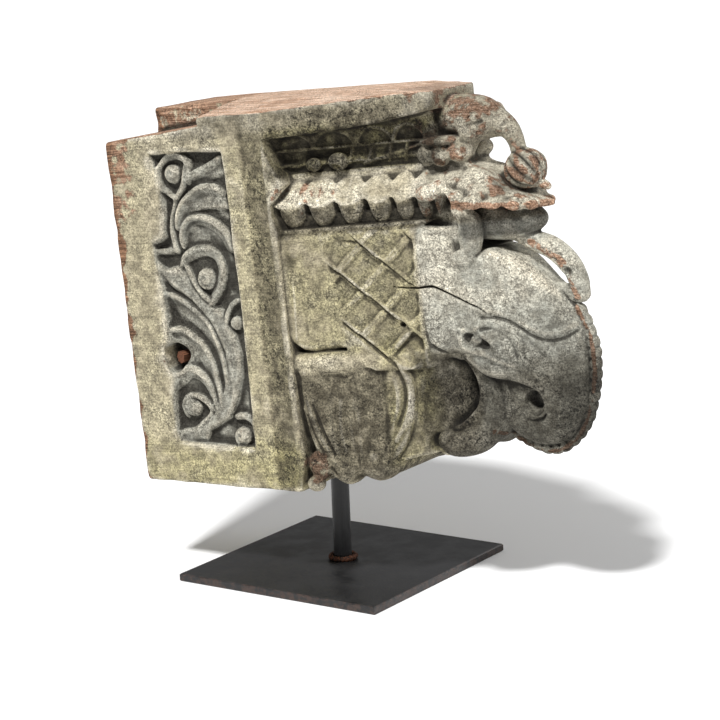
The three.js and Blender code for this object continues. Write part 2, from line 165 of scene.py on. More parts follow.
def pillow(depth_in, radius):
    """How far a rounded edge has still to rise, depth_in from the outline."""
    e = np.clip(radius - depth_in, 0, radius)
    return radius - np.sqrt(radius ** 2 - e ** 2)


def region(low, high, blend=0):
    """The part of the field between two corners, with its u, w and v."""
    cut = []
    for axis, lo, hi in zip((us, ws, vs), low, high):
        a, b = np.searchsorted(axis, [lo - MARGIN - blend, hi + MARGIN + blend])
        cut.append(slice(a, b))
    return tuple(cut), us[cut[0], None, None], ws[None, cut[1], None], vs[None, None, cut[2]]


def add(shape, low, high, blend=1.5):
    """Leave a shape standing in the wood, filleted over blend."""
    part, u, w, v = region(low, high, blend)
    field[part] = smooth_min(field[part], shape(u, w, v), blend)


def carve(shape, low, high, blend=1.5):
    """Cut a shape out of the wood, its arris rounded over blend."""
    part, u, w, v = region(low, high, blend)
    field[part] = smooth_max(field[part], -shape(u, w, v), blend)


def blob(centre, radii):
    """An egg shape, and the corners of the box that holds it."""
    c, r = np.array(centre, float), np.array(radii, float)

    def shape(u, w, v):
        q = np.sqrt(((u - c[0]) / r[0]) ** 2 + ((w - c[1]) / r[1]) ** 2 + ((v - c[2]) / r[2]) ** 2)
        return (q - 1) * r.min()

    return shape, c - r, c + r


def limb(points, steps=5):
    """A round limb through points (u, w, v, radius), and the corners of the box that holds it."""
    path = spline(points, steps) if len(points) > 2 else np.array(points, float)

    def shape(u, w, v):
        nearest = None
        for a, b in zip(path, path[1:]):
            e = b[:3] - a[:3]
            t = ((u - a[0]) * e[0] + (w - a[1]) * e[1] + (v - a[2]) * e[2]) / (e @ e)
            t = np.clip(t, 0, 1)
            d = np.sqrt((u - a[0] - t * e[0]) ** 2 + (w - a[1] - t * e[1]) ** 2
                        + (v - a[2] - t * e[2]) ** 2) - (a[3] + (b[3] - a[3]) * t)
            nearest = d if nearest is None else np.minimum(nearest, d)
        return nearest

    low = (path[:, :3] - path[:, 3:]).min(0)
    high = (path[:, :3] + path[:, 3:]).max(0)
    return shape, low, high


def noise(cell, seed):
    """Smooth unevenness over the field, one random knot every cell millimetres."""
    rng = np.random.default_rng(seed)
    knots = [int(n * VOXEL / cell) + 4 for n in field.shape]
    out = rng.normal(size=knots).astype(np.float32)
    for axis, n in enumerate(field.shape):
        place = np.arange(n) * VOXEL / cell + 1
        i = place.astype(int)
        f = (place - i).astype(np.float32)
        weights = np.zeros((n, knots[axis]), np.float32)
        for k, part in enumerate([
            (1 - f) ** 3 / 6, (3 * f ** 3 - 6 * f ** 2 + 4) / 6,
            (-3 * f ** 3 + 3 * f ** 2 + 3 * f + 1) / 6, f ** 3 / 6,
        ]):
            weights[np.arange(n), i - 1 + k] = part
        out = np.moveaxis(np.tensordot(weights, out, axes=(1, axis)), 0, axis)
    return out


# Panel of scrolls, sunk in each side of the block: its leaves overlap, each with a sharp upper
# edge and a dished face below it. The relief is kept as depth behind the face.
PANEL_DEPTH = 9.0
panel_edge = outline(side_u, side_v, [
    (-91, 274), (-87.5, 262), (-84.5, 245), (-84, 226), (-86, 212), (-99, 206), (-98.5, 195),
    (-94.5, 172), (-94.5, 148), (-95, 122), (-95.5, 100), (-98.5, 72), (-98, 60), (-95, 53),
    (-60, 51), (-24, 49), (-21.5, 160), (-22, 272), (-56, 274),
])
leaves = np.zeros((len(us), len(vs)))


def raise_leaf(points, first, last, height=7.0, lean=0.35, pointed=True):
    """A leaf or stem: a band whose one edge stands higher than the other."""
    aside, along = stroke(side_u, side_v, spline(points, 6))
    half = first + (last - first) * along
    if pointed:
        half = half * np.sqrt(np.clip(1.02 - (2 * along - 1) ** 8, 0.02, 1))
    s = np.clip(aside / half, -1, 1)
    body = np.clip(1 - s * s, 0, 1) ** 0.55 * (1 - abs(lean) + lean * s)
    channel = 0.14 * np.exp(-((s + math.copysign(0.25, lean)) / 0.35) ** 2)
    np.maximum(leaves, height * (body - channel * (np.abs(s) < 1)), out=leaves)


def raise_ridge(points, height, dished, steep=3.0):
    """A leaf's upper edge: steep on the left of its line, dished away on the right."""
    aside, along = stroke(side_u, side_v, spline(points, 6))
    ends = np.clip(1.02 - (2 * along - 1) ** 10, 0.0, 1) ** 0.5
    fall = np.clip(1 + aside / dished, 0, 1)
    dish_side = 0.35 * fall ** 0.5 + 0.65 * fall ** 3.5
    round_side = np.sqrt(np.clip(1 - (aside / steep) ** 2, 0, 1))
    shape = np.where(aside < 0, dish_side * (aside > -dished), round_side * (aside < steep))
    np.maximum(leaves, height * ends * shape, out=leaves)


def fill(points, height, soft=3.0):
    """Ground between leaves that stands above the panel's floor."""
    np.maximum(leaves, height * step(0.5, -soft, outline(side_u, side_v, points)), out=leaves)


def hub(u, v, radius, height=7.0):
    """The snail at a scroll's middle: a dome with a spiral cut into it."""
    x, y = side_u - u, side_v - v
    r = np.hypot(x, y)
    dome = np.sqrt(np.clip(1 - (r / radius) ** 2, 0, 1)) ** 0.7
    spiral = np.cos(2 * math.pi * (r / (radius * 0.8) - np.arctan2(y, x) / (2 * math.pi)))
    cut = 1.1 * step(0.1, 0.7, spiral) * (r < radius * 0.85) * dome
    np.maximum(leaves, height * dome - cut, out=leaves)


fill([(-66, 275), (-60, 262), (-50, 262), (-30, 268), (-22, 262), (-22, 256), (-44, 247), (-60, 245)], 2.0)
raise_leaf([(-59, 252), (-57, 263), (-61, 269), (-69, 271), (-77.5, 269), (-83.5, 263.5), (-84.5, 256),
            (-82.5, 248), (-77, 242), (-71, 240)], 3.6, 2.4, 7.8, -0.1, False)
hub(-73.5, 257.5, 7.6, 6.8)
raise_leaf([(-61, 251), (-50, 254.5), (-38, 259), (-27, 265), (-22, 269)], 7.0, 5.5, 8.0, 0.4)
raise_leaf([(-60, 262), (-63.5, 250), (-71, 239.5), (-76, 229), (-79, 218), (-79.5, 208), (-78, 199)],
           3.0, 2.8, 7.5, -0.2, False)
fill([(-76, 206), (-74, 224), (-68, 236), (-58, 243), (-44, 247), (-30, 246), (-23, 240), (-23, 228),
      (-44, 229), (-60, 226), (-68, 214), (-70, 204)], 3.2)
raise_ridge([(-74, 214), (-72, 224), (-67, 234), (-58.5, 241.5), (-47, 246.6), (-35, 246.5), (-24, 240)],
            8.4, 17)
raise_leaf([(-71.5, 200), (-69.5, 213), (-62, 221.5), (-51, 222), (-40, 217.5), (-31, 209.5), (-26.5, 197)],
           3.6, 7.0, 8.4, 0.4)
raise_leaf([(-101, 199), (-91, 199), (-80, 199.5)], 2.8, 3.0, 5.5, 0.2)
raise_leaf([(-75, 186), (-69.5, 194), (-59, 198.5), (-47.5, 198.5), (-40, 193), (-37.5, 184), (-40.5, 174),
            (-47, 165), (-54, 157)], 5.0, 5.0, 8.4, 0.3)
hub(-53, 177.5, 8.6, 7.4)
fill([(-98, 194), (-88, 188), (-76, 190), (-68, 184), (-65, 174), (-57, 164), (-50, 159), (-40, 155),
      (-37, 146), (-31, 136), (-27, 120), (-29, 103), (-35, 86), (-42, 73), (-52, 70), (-56, 84),
      (-50, 96), (-45.5, 121), (-53, 141), (-63, 152), (-74, 163), (-85, 171.5), (-94, 182)], 5.4, 4)
raise_leaf([(-97, 192), (-91, 180), (-81, 171.5), (-68, 162), (-56, 150), (-47, 136), (-41, 118), (-39.5, 98),
            (-43, 80)], 4.5, 4.5, 7.8, 0.25)
raise_leaf([(-72, 190), (-66, 176), (-58, 164), (-48, 157)], 3.0, 4.0, 7.4, 0.2)
raise_ridge([(-93, 167), (-78.3, 162.1), (-66, 153.5), (-55.4, 143.8), (-49.8, 131.8), (-46, 121),
             (-44.5, 110), (-44.3, 92)], 7.6, 13)
raise_ridge([(-96, 138.6), (-82, 139.1), (-70.8, 133), (-61.5, 124.6), (-55.8, 112.5), (-53.2, 100.4),
             (-51.8, 89.6), (-52.4, 74)], 7.8, 13)
raise_leaf([(-97, 93), (-90, 101.5), (-80.5, 106.5), (-70.5, 103), (-63.5, 95), (-60, 84), (-58, 72)],
           6.5, 4.2, 7.8, 0.35)
raise_leaf([(-60, 82), (-64, 73), (-73, 66), (-83, 60), (-95, 60)], 3.4, 3.6, 6.5, -0.2)
fill([(-99, 63), (-96, 53), (-68, 52), (-66, 60), (-54, 66), (-44, 71), (-41, 84), (-56, 88), (-62, 76),
      (-72, 67), (-84, 61)], 5.0)
hub(-81.5, 79.5, 8.0, 7.4)
raise_leaf([(-88, 72), (-90, 80.6), (-85.5, 87), (-76.5, 88), (-68, 84), (-62, 78)],
           2.2, 3.2, 7.8, 0.1, False)
hub(-36.7, 56.5, 7.8, 7.8)
raise_leaf([(-23, 60), (-25.5, 68), (-33, 72.5), (-43, 71.5)], 3.6, 3.0, 7.4, -0.2)
hub(-30, 143.7, 5.4, 6.6)
raise_leaf([(-38, 143), (-37.2, 150), (-33, 157), (-25, 162)], 2.2, 2.6, 7.0, 0.0)

THINNEST_GROUND = 0.8
panel_floor = PANEL_DEPTH - np.minimum(leaves, PANEL_DEPTH - THINNEST_GROUND)
wall_slope = np.interp(us, [-92, -84, -60], [5.5, 4.5, 1.8])[:, None]
# A shallow step runs down the stile beside the figure
stile_step = 0.9 * step(-5, -2, side_u) * (side_u < ARRIS) * (side_v < 285)
block_relief = step(1.2, -wall_slope, panel_edge) * panel_floor + stile_step


# Cove, petals, blanket and foot: the carving between the slab and the block's lower edge. Each form
# is an outline in side view, with its depth behind the near face or its half width at each place.
def between(low, high, x, soft=1.5):
    """1 from low to high, falling to 0 over soft at both ends."""
    return step(low - soft, low + soft, x) * step(high + soft, high - soft, x)


def line_on(u, v, points, half_width):
    """1 along a line through points, falling to 0 half_width away."""
    aside, _ = stroke(u, v, spline(points, 5))
    return np.exp(-(aside / (0.6 * half_width)) ** 2)


def with_lines(half, lines):
    """A half width with ridges and grooves: (how far each stands out, half its width, its line)."""
    for proud, reach, points in lines:
        half = half + proud * line_on(side_u, side_v, points, reach)
    return half


cove = np.interp(side_v, [244, 251, 256, 257, 258, 262, 267, 268.5, 270, 276, 284], [
    20, 19.5, 19, 16.5, 17.5, 19, 18, 14.5, 16, 14.5, 12,
]) + 0 * side_u
for centre, reach in zip([30, 60, 90, 115], [15, 15, 13, 11]):
    arch = np.hypot((side_u - centre) / reach, (side_v - 269) / 12)
    cove += 1.4 * step(1.0, 0.8, arch) * step(268.5, 270, side_v)
    cove -= 1.3 * np.exp(-((arch - 1) / 0.09) ** 2) * step(268.5, 270, side_v)
for rib in [71, 85, 99, 111]:
    cove -= 2.6 * np.exp(-((side_u - rib - 0.25 * (side_v - 261)) / 1.2) ** 2) * between(255, 267, side_v, 2)
# The cove, the petals and the course below them are kept as depths, so what stands out is less than nothing
cove = with_lines(cove, [
    (-3.5, 1.6, [(80, 255), (110, 262), (140, 270)]), (-5.0, 1.6, [(18, 257.5), (26, 257), (32, 256.5)]),
])

COURSE_FOOT, COVE_FOOT = 207.3, 251
PETALS = [(28, 11.5), (50, 11), (71, 10.5), (92, 10), (110, 8.5), (125, 7), (136, 5.5)]
petals = np.full(cove.shape, 17.0)
for centre, half in PETALS:
    offset = (side_u - centre) / half
    s = np.clip(np.abs(offset), 0, 1.15)
    rim = 226.0 + 4.0 * s ** 2
    rise = np.clip((side_v - rim) / 21, 0, 1)
    roof = 4.0 + 13.0 * rise ** 1.3 + 3.4 * s ** 1.6 * (0.35 + rise) - 0.5 * np.exp(-(s / 0.12) ** 2)
    tip = 243.5 + 9.0 * np.clip(1 - np.abs(offset + 0.12) ** 1.1, 0, 1) - 0.03 * (centre - 28)
    roof = np.where(s < 1.1, roof + 9 * step(-1.2, 1.2, side_v - tip), 40)
    down = (rim - side_v) / 16.5
    reach = np.sqrt(np.clip(1 - down ** 2, 0, 1))
    cup = 5.0 + 8 * (1 - np.sqrt(np.clip(1 - (s / 0.93) ** 2 - down ** 2, 0, 1))) + 1.5 * down
    cup = np.where(s < 0.93 * reach, cup, 40)
    petals = np.minimum(petals, np.where(side_v >= rim, roof, cup))
petals = petals - 5.0 * between(211.5, 221, side_v, 1) * (petals > 16.5)
fillet = 7.0 + 30 * (1 - between(COURSE_FOOT, 211.4, side_v, 0.5))
course = np.where(side_v > COVE_FOOT, cove, petals)
course = np.minimum(course, fillet)
course = np.where(side_v < COURSE_FOOT, 16, course)
course_edge = outline(side_u, side_v, [
    (10, 205), (116, 204), (134, 214), (141, 228), (139, 246), (134, 256), (134, 296), (10, 296),
])

# The blanket's bands fall toward the head and overlap like slates; others rise across them
FALL, FALL_START, FALL_STEP = 0.95, 236.0, 36.5
RISE_START, RISE_STEP = 57.0, 31.0
FALL_SLANT, RISE_SLANT = 0.725, 0.707
falling = (side_v + FALL * side_u - FALL_START) / FALL_STEP
rising = (side_v - side_u - RISE_START) / RISE_STEP
fall_part, rise_part = falling - np.floor(falling), rising - np.floor(rising)
to_fall = np.minimum(fall_part, 1 - fall_part) * FALL_STEP * FALL_SLANT
to_rise = np.minimum(rise_part, 1 - rise_part) * RISE_STEP * RISE_SLANT
to_crease = np.minimum(to_fall, to_rise) + 0.6 * np.sin(side_u * 0.35) * np.sin(side_v * 0.31)
quilt = 3.2 * fall_part + 2.0 * step(1.0, 3.2, to_crease) - 1.2 * step(3.5, 10.0, to_crease)
quilt += 1.1 * np.exp(-((1 - fall_part) * FALL_STEP * FALL_SLANT / 1.5) ** 2)
quilt += 0.9 * np.exp(-(to_rise / 0.9) ** 2)
blanket_left = np.interp(side_v, [100, 140, 170, 208], [100, 60, 56, 50])
on_blanket = step(-2, 3, side_u - blanket_left) * step(118, 115.5, side_u)
body_depth = 2.0 + on_blanket * (quilt - 1.2)
body_depth += 1.3 * line_on(side_u, side_v, [(57, 206), (62, 202), (75, 199)], 1.4)
body_depth -= 1.4 * np.exp(-((side_u - 116.5) / 1.3) ** 2) * step(110, 120, side_v)
body_depth += 2.0 * step(117, 121, side_u)
body_half = np.interp(us, [16, 19, 22, 27, 34, 46], [69.5, 69, 68.3, 68.3, 66.5, -face_at(46)])[:, None]
body_half = smooth_min(body_half, -face_at(side_u), 3) - body_depth
body_half = with_lines(body_half - pillow(209 - side_v, 5), [
    (-0.7, 2.4, [(32, 182), (34, 160), (33, 134)]), (1.0, 2.2, [(27, 182), (27, 160), (25, 132)]),
])
body_edge = outline(side_u, side_v, [
    (12, 140), (19, 129), (27, 122.5), (36, 120.5), (50, 121.5), (60, 123), (65, 112), (80, 104),
    (118, 104), (150, 110), (150, 204), (118, 207.5), (60, 208.5), (34, 208.5), (24, 208), (12, 208),
])
body_half = body_half - pillow(-body_edge, 6) * step(60, 54, side_u) * step(140, 130, side_v)

# The foot: a broad worn shaft that narrows to its toes, with two ridges down its left side
FLUTES = 3.3
foot_half = np.interp(us, [14, 19, 24, 32, 50, 70, 82, 100], [
    61, 62, 63, 63.5, -face_at(50) - 2.5, -face_at(70) - 3, -face_at(82) - 7, -face_at(100) - 9])
foot_half = foot_half[:, None] + 0 * side_v
shaft_heights = [22, 60, 104]
across = side_u - np.interp(side_v, shaft_heights, [44, 28, 22])
across = across / np.interp(side_v, shaft_heights, [38, 54, 62])
flutes = 0.8 * np.cos(across * 2 * math.pi * FLUTES + 1.2 * np.sin(side_v * 0.05))
foot_half = with_lines(foot_half + flutes * between(38, 92, side_v, 8), [
    (2.0, 2.0, [(23, 80), (26.5, 64), (33, 46), (41, 27)]),
    (-2.6, 1.5, [(25, 74), (30, 58), (37, 40), (43, 28)]),
    (1.8, 2.2, [(27, 84), (31, 68), (37, 52), (44, 36)]),
    (-1.6, 1.8, [(31, 82), (36, 62), (43, 44)]),
    (-1.6, 3.0, [(60, 74), (60, 52), (60, 30)]),
    (1.4, 3.2, [(52, 84), (50, 62), (52, 46)]),
])
foot_edge = outline(side_u, side_v, spline([
    (17, 112), (17.5, 84), (22, 60), (29.5, 42), (38, 27), (48, 20.5), (58, 26), (70, 22), (80, 25),
    (88, 34), (92, 60), (92, 92), (94, 108), (60, 120), (30, 120),
], 3, closed=True))
foot_half -= pillow(-foot_edge, 7)

core_half = np.interp(us, [12, 30, 98, 110, 124, 150], [
    56, 50, -face_at(98) - 8, -face_at(110) - 6, -face_at(124) - 7, -face_at(150) - 9])
core_half = with_lines(core_half[:, None], [(-0.7, 1.2, [(121, 118), (113, 90), (104, 60)])])
core_half = core_half + 3.0 * step(96, 116, side_v)
core_half = core_half - 6.0 * step(14, 4, np.hypot(side_u - 121, 1.1 * (side_v - 46)))
core_edge = outline(side_u, side_v, [
    (10, 20), (30, 22), (36, 30), (90, 35), (100, 37.5), (124, 41.5), (128, 60), (134, 118), (10, 120),
])

# The curled leaf between the foot and the chest
leaf_edge = outline(side_u, side_v, spline([
    (80, 34), (92, 45), (100, 60), (105, 77), (105.5, 92), (101, 106), (92, 116), (80, 110), (77, 90),
    (76, 60),
], 4, closed=True))
leaf_half = -face_at(side_u) - 5.5 + 2.5 * step(78, 96, side_u) + 0 * side_v
leaf_half = with_lines(leaf_half, [
    (-1.2, 5, [(84, 106), (83, 88), (82, 70), (82, 50)]),
    (-2.2, 3.6, [(94, 106), (98, 92), (97, 78), (91, 64)]),
    (3.0, 2.8, [(97, 108), (102.8, 94), (102.6, 79), (97.5, 65), (89, 52)]),
    (1.0, 1.6, [(90, 104), (93, 90), (92, 76), (86, 60)]),
])
leaf_half -= pillow(-leaf_edge, 4.0)


def both(edge, half, blend, low, high):
    """Join a form of a given outline, whose near face stands half from the middle plane."""
    part, u, w, v = region(low, high)
    a, _, c = part
    shape = smooth_max(edge[a, c][:, None, :], (-half[a, c][:, None, :] - w) * 0.95, blend)
    field[part] = smooth_min(field[part], shape, 0.6)


block_edge = outline(side_u, side_v, [
    (WALL_END, 22.3), (-60, 19.5), (ARRIS, 16.5), (18.5, 30), (22, 46), (19.5, 80), (20, 200), (21, 210),
    (17.5, 222), (17.5, 231), (22.5, 238), (27, 245), (25, 252), (21, 260), (17.5, 270), (17, 312),
    (WALL_END, 312),
])
slab_edge = outline(side_u, side_v, [
    (0, 279), (ARRIS, 279), (60, 281), (100, 284), (120, 287), (SLAB_END, 290), (SLAB_END, 312), (0, 312),
])
both(block_edge, -face_at(side_u) - block_relief, 0.8, (-131, -70, 16), (28, 0, 312))
both(slab_edge, -face_at(side_u) + 0 * side_v, 0.8, (0, -70, 279), (140, 0, 312))
both(course_edge, -face_at(side_u) - course, 1.5, (10, -70, 204), (142, 0, 296))
both(body_edge, body_half, 1.5, (20, -70, 106), (150, 0, 209))
both(core_edge, core_half, 3, (10, -60, 20), (135, 0, 120))
both(foot_edge, foot_half, 1.0, (20, -66, 20), (96, 0, 122))
both(leaf_edge, leaf_half, 1.0, (74, -60, 32), (108, 0, 118))
for u, v, r in [(45, 258, 6), (63.5, 259, 7.5)]:
    add(*blob((u - 1, face_at(u) + 15.5, v - 1), (r, r, 0.85 * r)), blend=1)
    carve(*blob((u - 1, face_at(u) + 8, v - 7), (r, 6, 5)), blend=1)
add(*limb([(20, -57, 112, 8.5), (44, -54.5, 112, 9), (60, -50, 112, 8.5), (70, -44, 112, 7)]), blend=2)
for u in [27.5, 41, 55.5]:
    add(*blob((u, face_at(u) + 9, 106.5), (7.2, 8.5, 6.2)), blend=1.2)
for centre, radii, blend in [
    ((48, face_at(48) + 13, 31), (10, 12, 10.8), 5),
    ((70.5, face_at(70) + 13, 33), (13, 13, 10.8), 5),
    ((71, face_at(71) + 3.5, 39.5), (5, 4, 5), 1.5),
    ((27, -64, 22.5), (7.5, 6, 6), 2),
    ((30, -60, 36), (10, 6, 11), 2),
]:
    add(*blob(centre, radii), blend=blend)
carve(*blob((29, -68, 188), (9, 6, 12)), blend=1.5)
add(*blob((29.5, face_at(30) + 7.2, 196), (7.2, 7.2, 7)), blend=1)
carve(*limb([(101.5, face_at(102) + 2, 137, 2.2), (101.5, face_at(102) + 8, 137, 2.0)]))
add(*limb([(97, face_at(97) + 2.5, 121, 1.6), (108, face_at(108) + 2.5, 132, 1.6)]), blend=2)

# The bowed head: cheek and jaw, the trunk that curls back under it, and the toothed crest. The face
# is a half width with raised and sunk lines, and the rest is added to it or carved out of it.
plan_half = np.interp(us, [100, 140, 172, 206, 232, 240], [42.6, 30, 23.3, 16.6, 8, 2.5])[:, None]
chin_half = np.interp(vs, [36, 46, 60, 84, 130], [3, 9, 15, 22, 50])[None, :]
head_half = smooth_min(plan_half, chin_half, 5)
cheek_line = spline([
    (128, 118), (136.6, 111), (144.8, 103), (154.6, 96.5), (166.4, 94), (178.3, 92), (188.3, 88.5),
    (196, 84.5), (202, 78), (202.5, 70), (198, 62), (188, 56), (174, 50),
], 4)
below_cheek, along_cheek = stroke(side_u, side_v, cheek_line)
sunk_half = np.interp(us, [116, 150, 172, 206], [29, 18.9, 16.5, 12.5])[:, None]
under_cheek = step(-1.2, 1.6, -below_cheek)
face_edge = outline(side_u, side_v, spline([
    (116, 204), (142, 200), (148, 190), (158, 187), (170, 187.5), (180, 184), (190, 179.5),
    (199, 172), (210, 162), (219, 154), (228, 141), (234, 127), (236, 110), (234, 87), (228, 66),
    (216, 49), (202, 41), (188, 39.5), (174, 46), (165, 55), (163.5, 66), (163.5, 80), (160, 92),
    (148, 104), (138, 114), (122, 112), (114, 150),
], 3, closed=True))
detail = 1.6 * np.exp(-((below_cheek - 4) / 4) ** 2) * (along_cheek < 0.62)
EYE_U, EYE_V = 155, 122
eye_socket = np.hypot((side_u - EYE_U + 0.5 * (side_v - EYE_V)) / 9,
                      (side_v - EYE_V + 0.35 * (side_u - EYE_U)) / 5)
detail -= 3.6 * step(1.25, 0.5, eye_socket)
eyeball = np.hypot((side_u - 154) / 4.8, (side_v - 122.5) / 4)
detail += 3.0 * np.sqrt(np.clip(1 - eyeball ** 2, 0, 1))
for u, v, reach in [(149, 125.5, 1.8), (160.5, 118.5, 2.4)]:
    detail -= 2.6 * np.exp(-((np.hypot(side_u - u, side_v - v)) / reach) ** 2)
# Lids, brow, the long vein over the cheek, the folds under the jaw and the trunk's first swell
detail = with_lines(detail, [
    (1.6, 2.6, [(147, 131), (143.6, 124), (144.6, 118.6), (151, 114.5), (160, 112), (171, 107), (182, 102)]),
    (2.2, 2.4, [(156, 131), (162.3, 134.4), (171.5, 135.5), (178.5, 131.5), (185.2, 124.5), (188, 116),
                (187.6, 106)]),
    (-1.2, 3.0, [(160, 130.5), (168, 130.5), (175, 127), (181, 120), (184, 110)]),
    (-1.5, 2.6, [(161, 139.6), (170.4, 138.9), (180.6, 136.4), (188.9, 130.8), (197, 124.5), (206, 120.8),
                 (213, 120), (221, 121.7), (229, 126)]),
    (1.6, 4.5, [(165, 144), (176, 142), (188, 136.5), (198, 130), (208, 126), (219, 127), (228, 131)]),
] + [
    (-0.6, 1.5, [(160 + drop, 101 + drop), (180 + drop, 96 + 0.8 * drop),
                 (199 + 0.5 * drop, 86 + 0.5 * drop)])
    for drop in (4.5, 9.0, 13.5)
] + [
    (-0.8, 3.0, [(196, 120), (206, 108), (213, 95), (214, 80)]),
    (0.9, 4.0, [(203, 116), (213, 103), (219, 88), (219, 72)]),
])
face_half = head_half + detail
face_half = face_half + (np.minimum(sunk_half, head_half) - face_half) * under_cheek
face_half = face_half - pillow(-face_edge, 9) * 0.9
both(face_edge, face_half, 2.0, (112, -48, 38), (240, 0, 205))

trunk_edge = outline(side_u, side_v, spline([
    (106, 118), (150, 118), (168, 100), (166, 84), (168, 70), (171, 59), (161.5, 48.5), (150, 42.8),
    (142, 39), (134, 36.5), (125, 38.5), (110, 41),
], 3, closed=True))
trunk_half = np.interp(us, [106, 112, 124, 138, 150, 165], [35, 32, 26, 23, 19.5, 15])[:, None]
trunk_low = np.interp(vs, [36, 60, 80, 118], [26, 27, 28, 40])[None, :]
trunk_half = smooth_min(trunk_half + 0 * side_v, trunk_low, 3)
trunk_half = trunk_half - pillow(-trunk_edge, 7)
both(trunk_edge, trunk_half, 2.5, (106, -40, 36), (172, 0, 118))
add(*limb([(158, -6, 100, 10), (158.5, -7.5, 84, 10.5), (157.5, -9, 70, 11), (153, -12, 58, 11),
           (146, -18, 50, 11), (137, -23.5, 46.5, 10), (129, -27.5, 46.5, 9), (124.5, -29.5, 49.5, 7.5)]),
    blend=2)
pocket_edge = outline(side_u, side_v, spline([
    (110, 62), (122, 56.5), (131, 59.5), (139.5, 65.5), (146, 74), (148.5, 86), (146, 98), (140, 108),
    (130, 110), (117, 100), (110, 80),
], 3, closed=True))
pocket_half = np.interp(us, [104, 114, 124, 132, 140, 146, 152], [37, 31, 24.5, 17, 6, 1, -2])[:, None]
pocket_half = pocket_half + 3 * step(68, 54, side_v) + 8 * step(88, 108, side_v)
part, _, pocket_w, _ = region((104, -46, 48), (156, 0, 112))
pocket = smooth_max(pocket_edge[part[0], part[2]][:, None, :],
                    pocket_w + pocket_half[part[0], part[2]][:, None, :], 2.5)
field[part] = smooth_max(field[part], -pocket, 1.4)
carve(*limb([(171, -20, 57, 1.6), (167, -21, 67, 1.8), (164, -22, 79, 1.8), (164.5, -23, 90, 1.8)]),
      blend=1.5)
# The hole through the jaw, with a raised rim round most of it
JAW_HOLE_U, JAW_HOLE_V, JAW_RIM = 191.5, 74.5, 10.2
carve(*limb([(JAW_HOLE_U, -60, JAW_HOLE_V, 8.4), (JAW_HOLE_U, -1, 77, 7.0)]), blend=1.0)
rim_path = [
    (JAW_HOLE_U + JAW_RIM * math.cos(a), -15.8 + 0.6 * math.sin(a), JAW_HOLE_V + JAW_RIM * math.sin(a), 1.8)
    for a in np.radians(np.arange(-160, 41, 25))
]
add(*limb(rim_path, 3), blend=2.0)

CREST = spline([
    (228, 143), (234, 129), (237, 117), (237.4, 101), (235.4, 85), (231.4, 71), (226, 58),
    (217, 47.5), (206, 40), (196, 37.5), (187, 38.5), (178, 42), (168, 48), (160, 55),
], 6)
crest_aside, crest_along = stroke(side_u, side_v, CREST)
TEETH = 21
tooth = np.abs(np.sin(math.pi * TEETH * crest_along)) ** 0.7
comb = np.abs(crest_aside) - 1.6 - 2.2 * tooth * (crest_along > 0.002) * (crest_along < 0.998)
part, _, crest_w, crest_v = region((158, -6, 34), (243, 0, 146))
crest = smooth_max(comb[part[0], part[2]][:, None, :], -4.2 - crest_w + 0 * crest_v, 2.0)
field[part] = smooth_min(field[part], crest, 1.5)

# Leaf canopy over the head, its stalks, and the limb that springs from under it. The canopy's lip
# hangs in lobes, and the hollow behind them is carved out.
cap_edge = outline(side_u, side_v, spline([
    (112, 232), (118, 247), (126, 261), (150, 259), (158, 249), (167, 245), (178, 240), (190, 230.5),
    (204, 222.5), (217, 216.5), (210, 214.5), (203, 217.5), (196, 214.5), (187, 219), (180, 217.5),
    (173, 221), (166, 219.5), (159, 222.5), (148, 226), (138, 232), (126, 228),
], 3, closed=True))
cap_plan = np.interp(us, [104, 140, 162, 184, 206, 218], [35, 37, 37, 29, 12, 1.5])[:, None]
cap_slope = np.interp(vs, [206, 224, 246, 270], [44, 39, 17, 14])[None, :]
cap_half = smooth_min(cap_plan, cap_slope, 4)
cap_half = cap_half + 1.2 * np.sin(side_u * 0.45) * between(214, 232, side_v, 3)
cap_half = cap_half - 0.9 * line_on(side_u, side_v, [(156, 247), (153, 238), (150, 230)], 3.5)
both(cap_edge, cap_half, 2.0, (108, -42, 205), (219, 0, 264))
LIP = [(155, 228.5, 34.5, 7, 4.6), (168, 222.5, 33, 8, 5.2), (181, 220, 28, 7, 4.6),
       (193, 218.5, 20.5, 6.5, 4.4), (204, 217.5, 12, 5.5, 3.8)]
for u, v, w, along, tall in LIP:
    add(*blob((u, -w, v), (along, 5, tall)), blend=2)
carve(*blob((172, -23, 210), (24, 14, 10)), blend=2)
add(*blob((172, 0, 206), (36, 21, 14.5)), blend=3)
add(*limb([(128, -33, 231, 6), (137, -36, 232, 6), (145, -35, 236, 5)]), blend=2)
add(*limb([(146, -33.5, 235, 4.2), (151.5, -32.5, 227, 4.8), (156, -30.5, 218, 6), (161, -27.5, 209, 7.5)]),
    blend=2)
add(*limb([(161, -26, 208, 7.5), (159, -24.5, 199, 9), (158, -23.5, 192, 8)]), blend=3)
add(*blob((151.5, -26, 182.5), (8.5, 7, 6.5)), blend=3)
add(*limb([(112, -4, 214, 17), (146, -4, 210, 17)]), blend=4)
carve(*blob((146, -38, 224), (6.5, 13, 6.5)), blend=1.5)
add(*limb([(172, 0, 203, 7), (184, 0, 197, 7), (197, 0, 190, 7.5), (211, 0, 184.5, 8), (222, 0, 175, 8),
           (229, 0, 163, 7.5), (231.5, 0, 151, 6)]), blend=2)
add(*limb([(212, 0, 157, 4), (226, 0, 151, 6)]), blend=2)
carve(*blob((223.5, -8.5, 168), (5.5, 5.5, 4.5)), blend=1.0)
carve(*limb([(215, -7, 178, 1.0), (225, -8.5, 171, 1.4)]), blend=1.0)

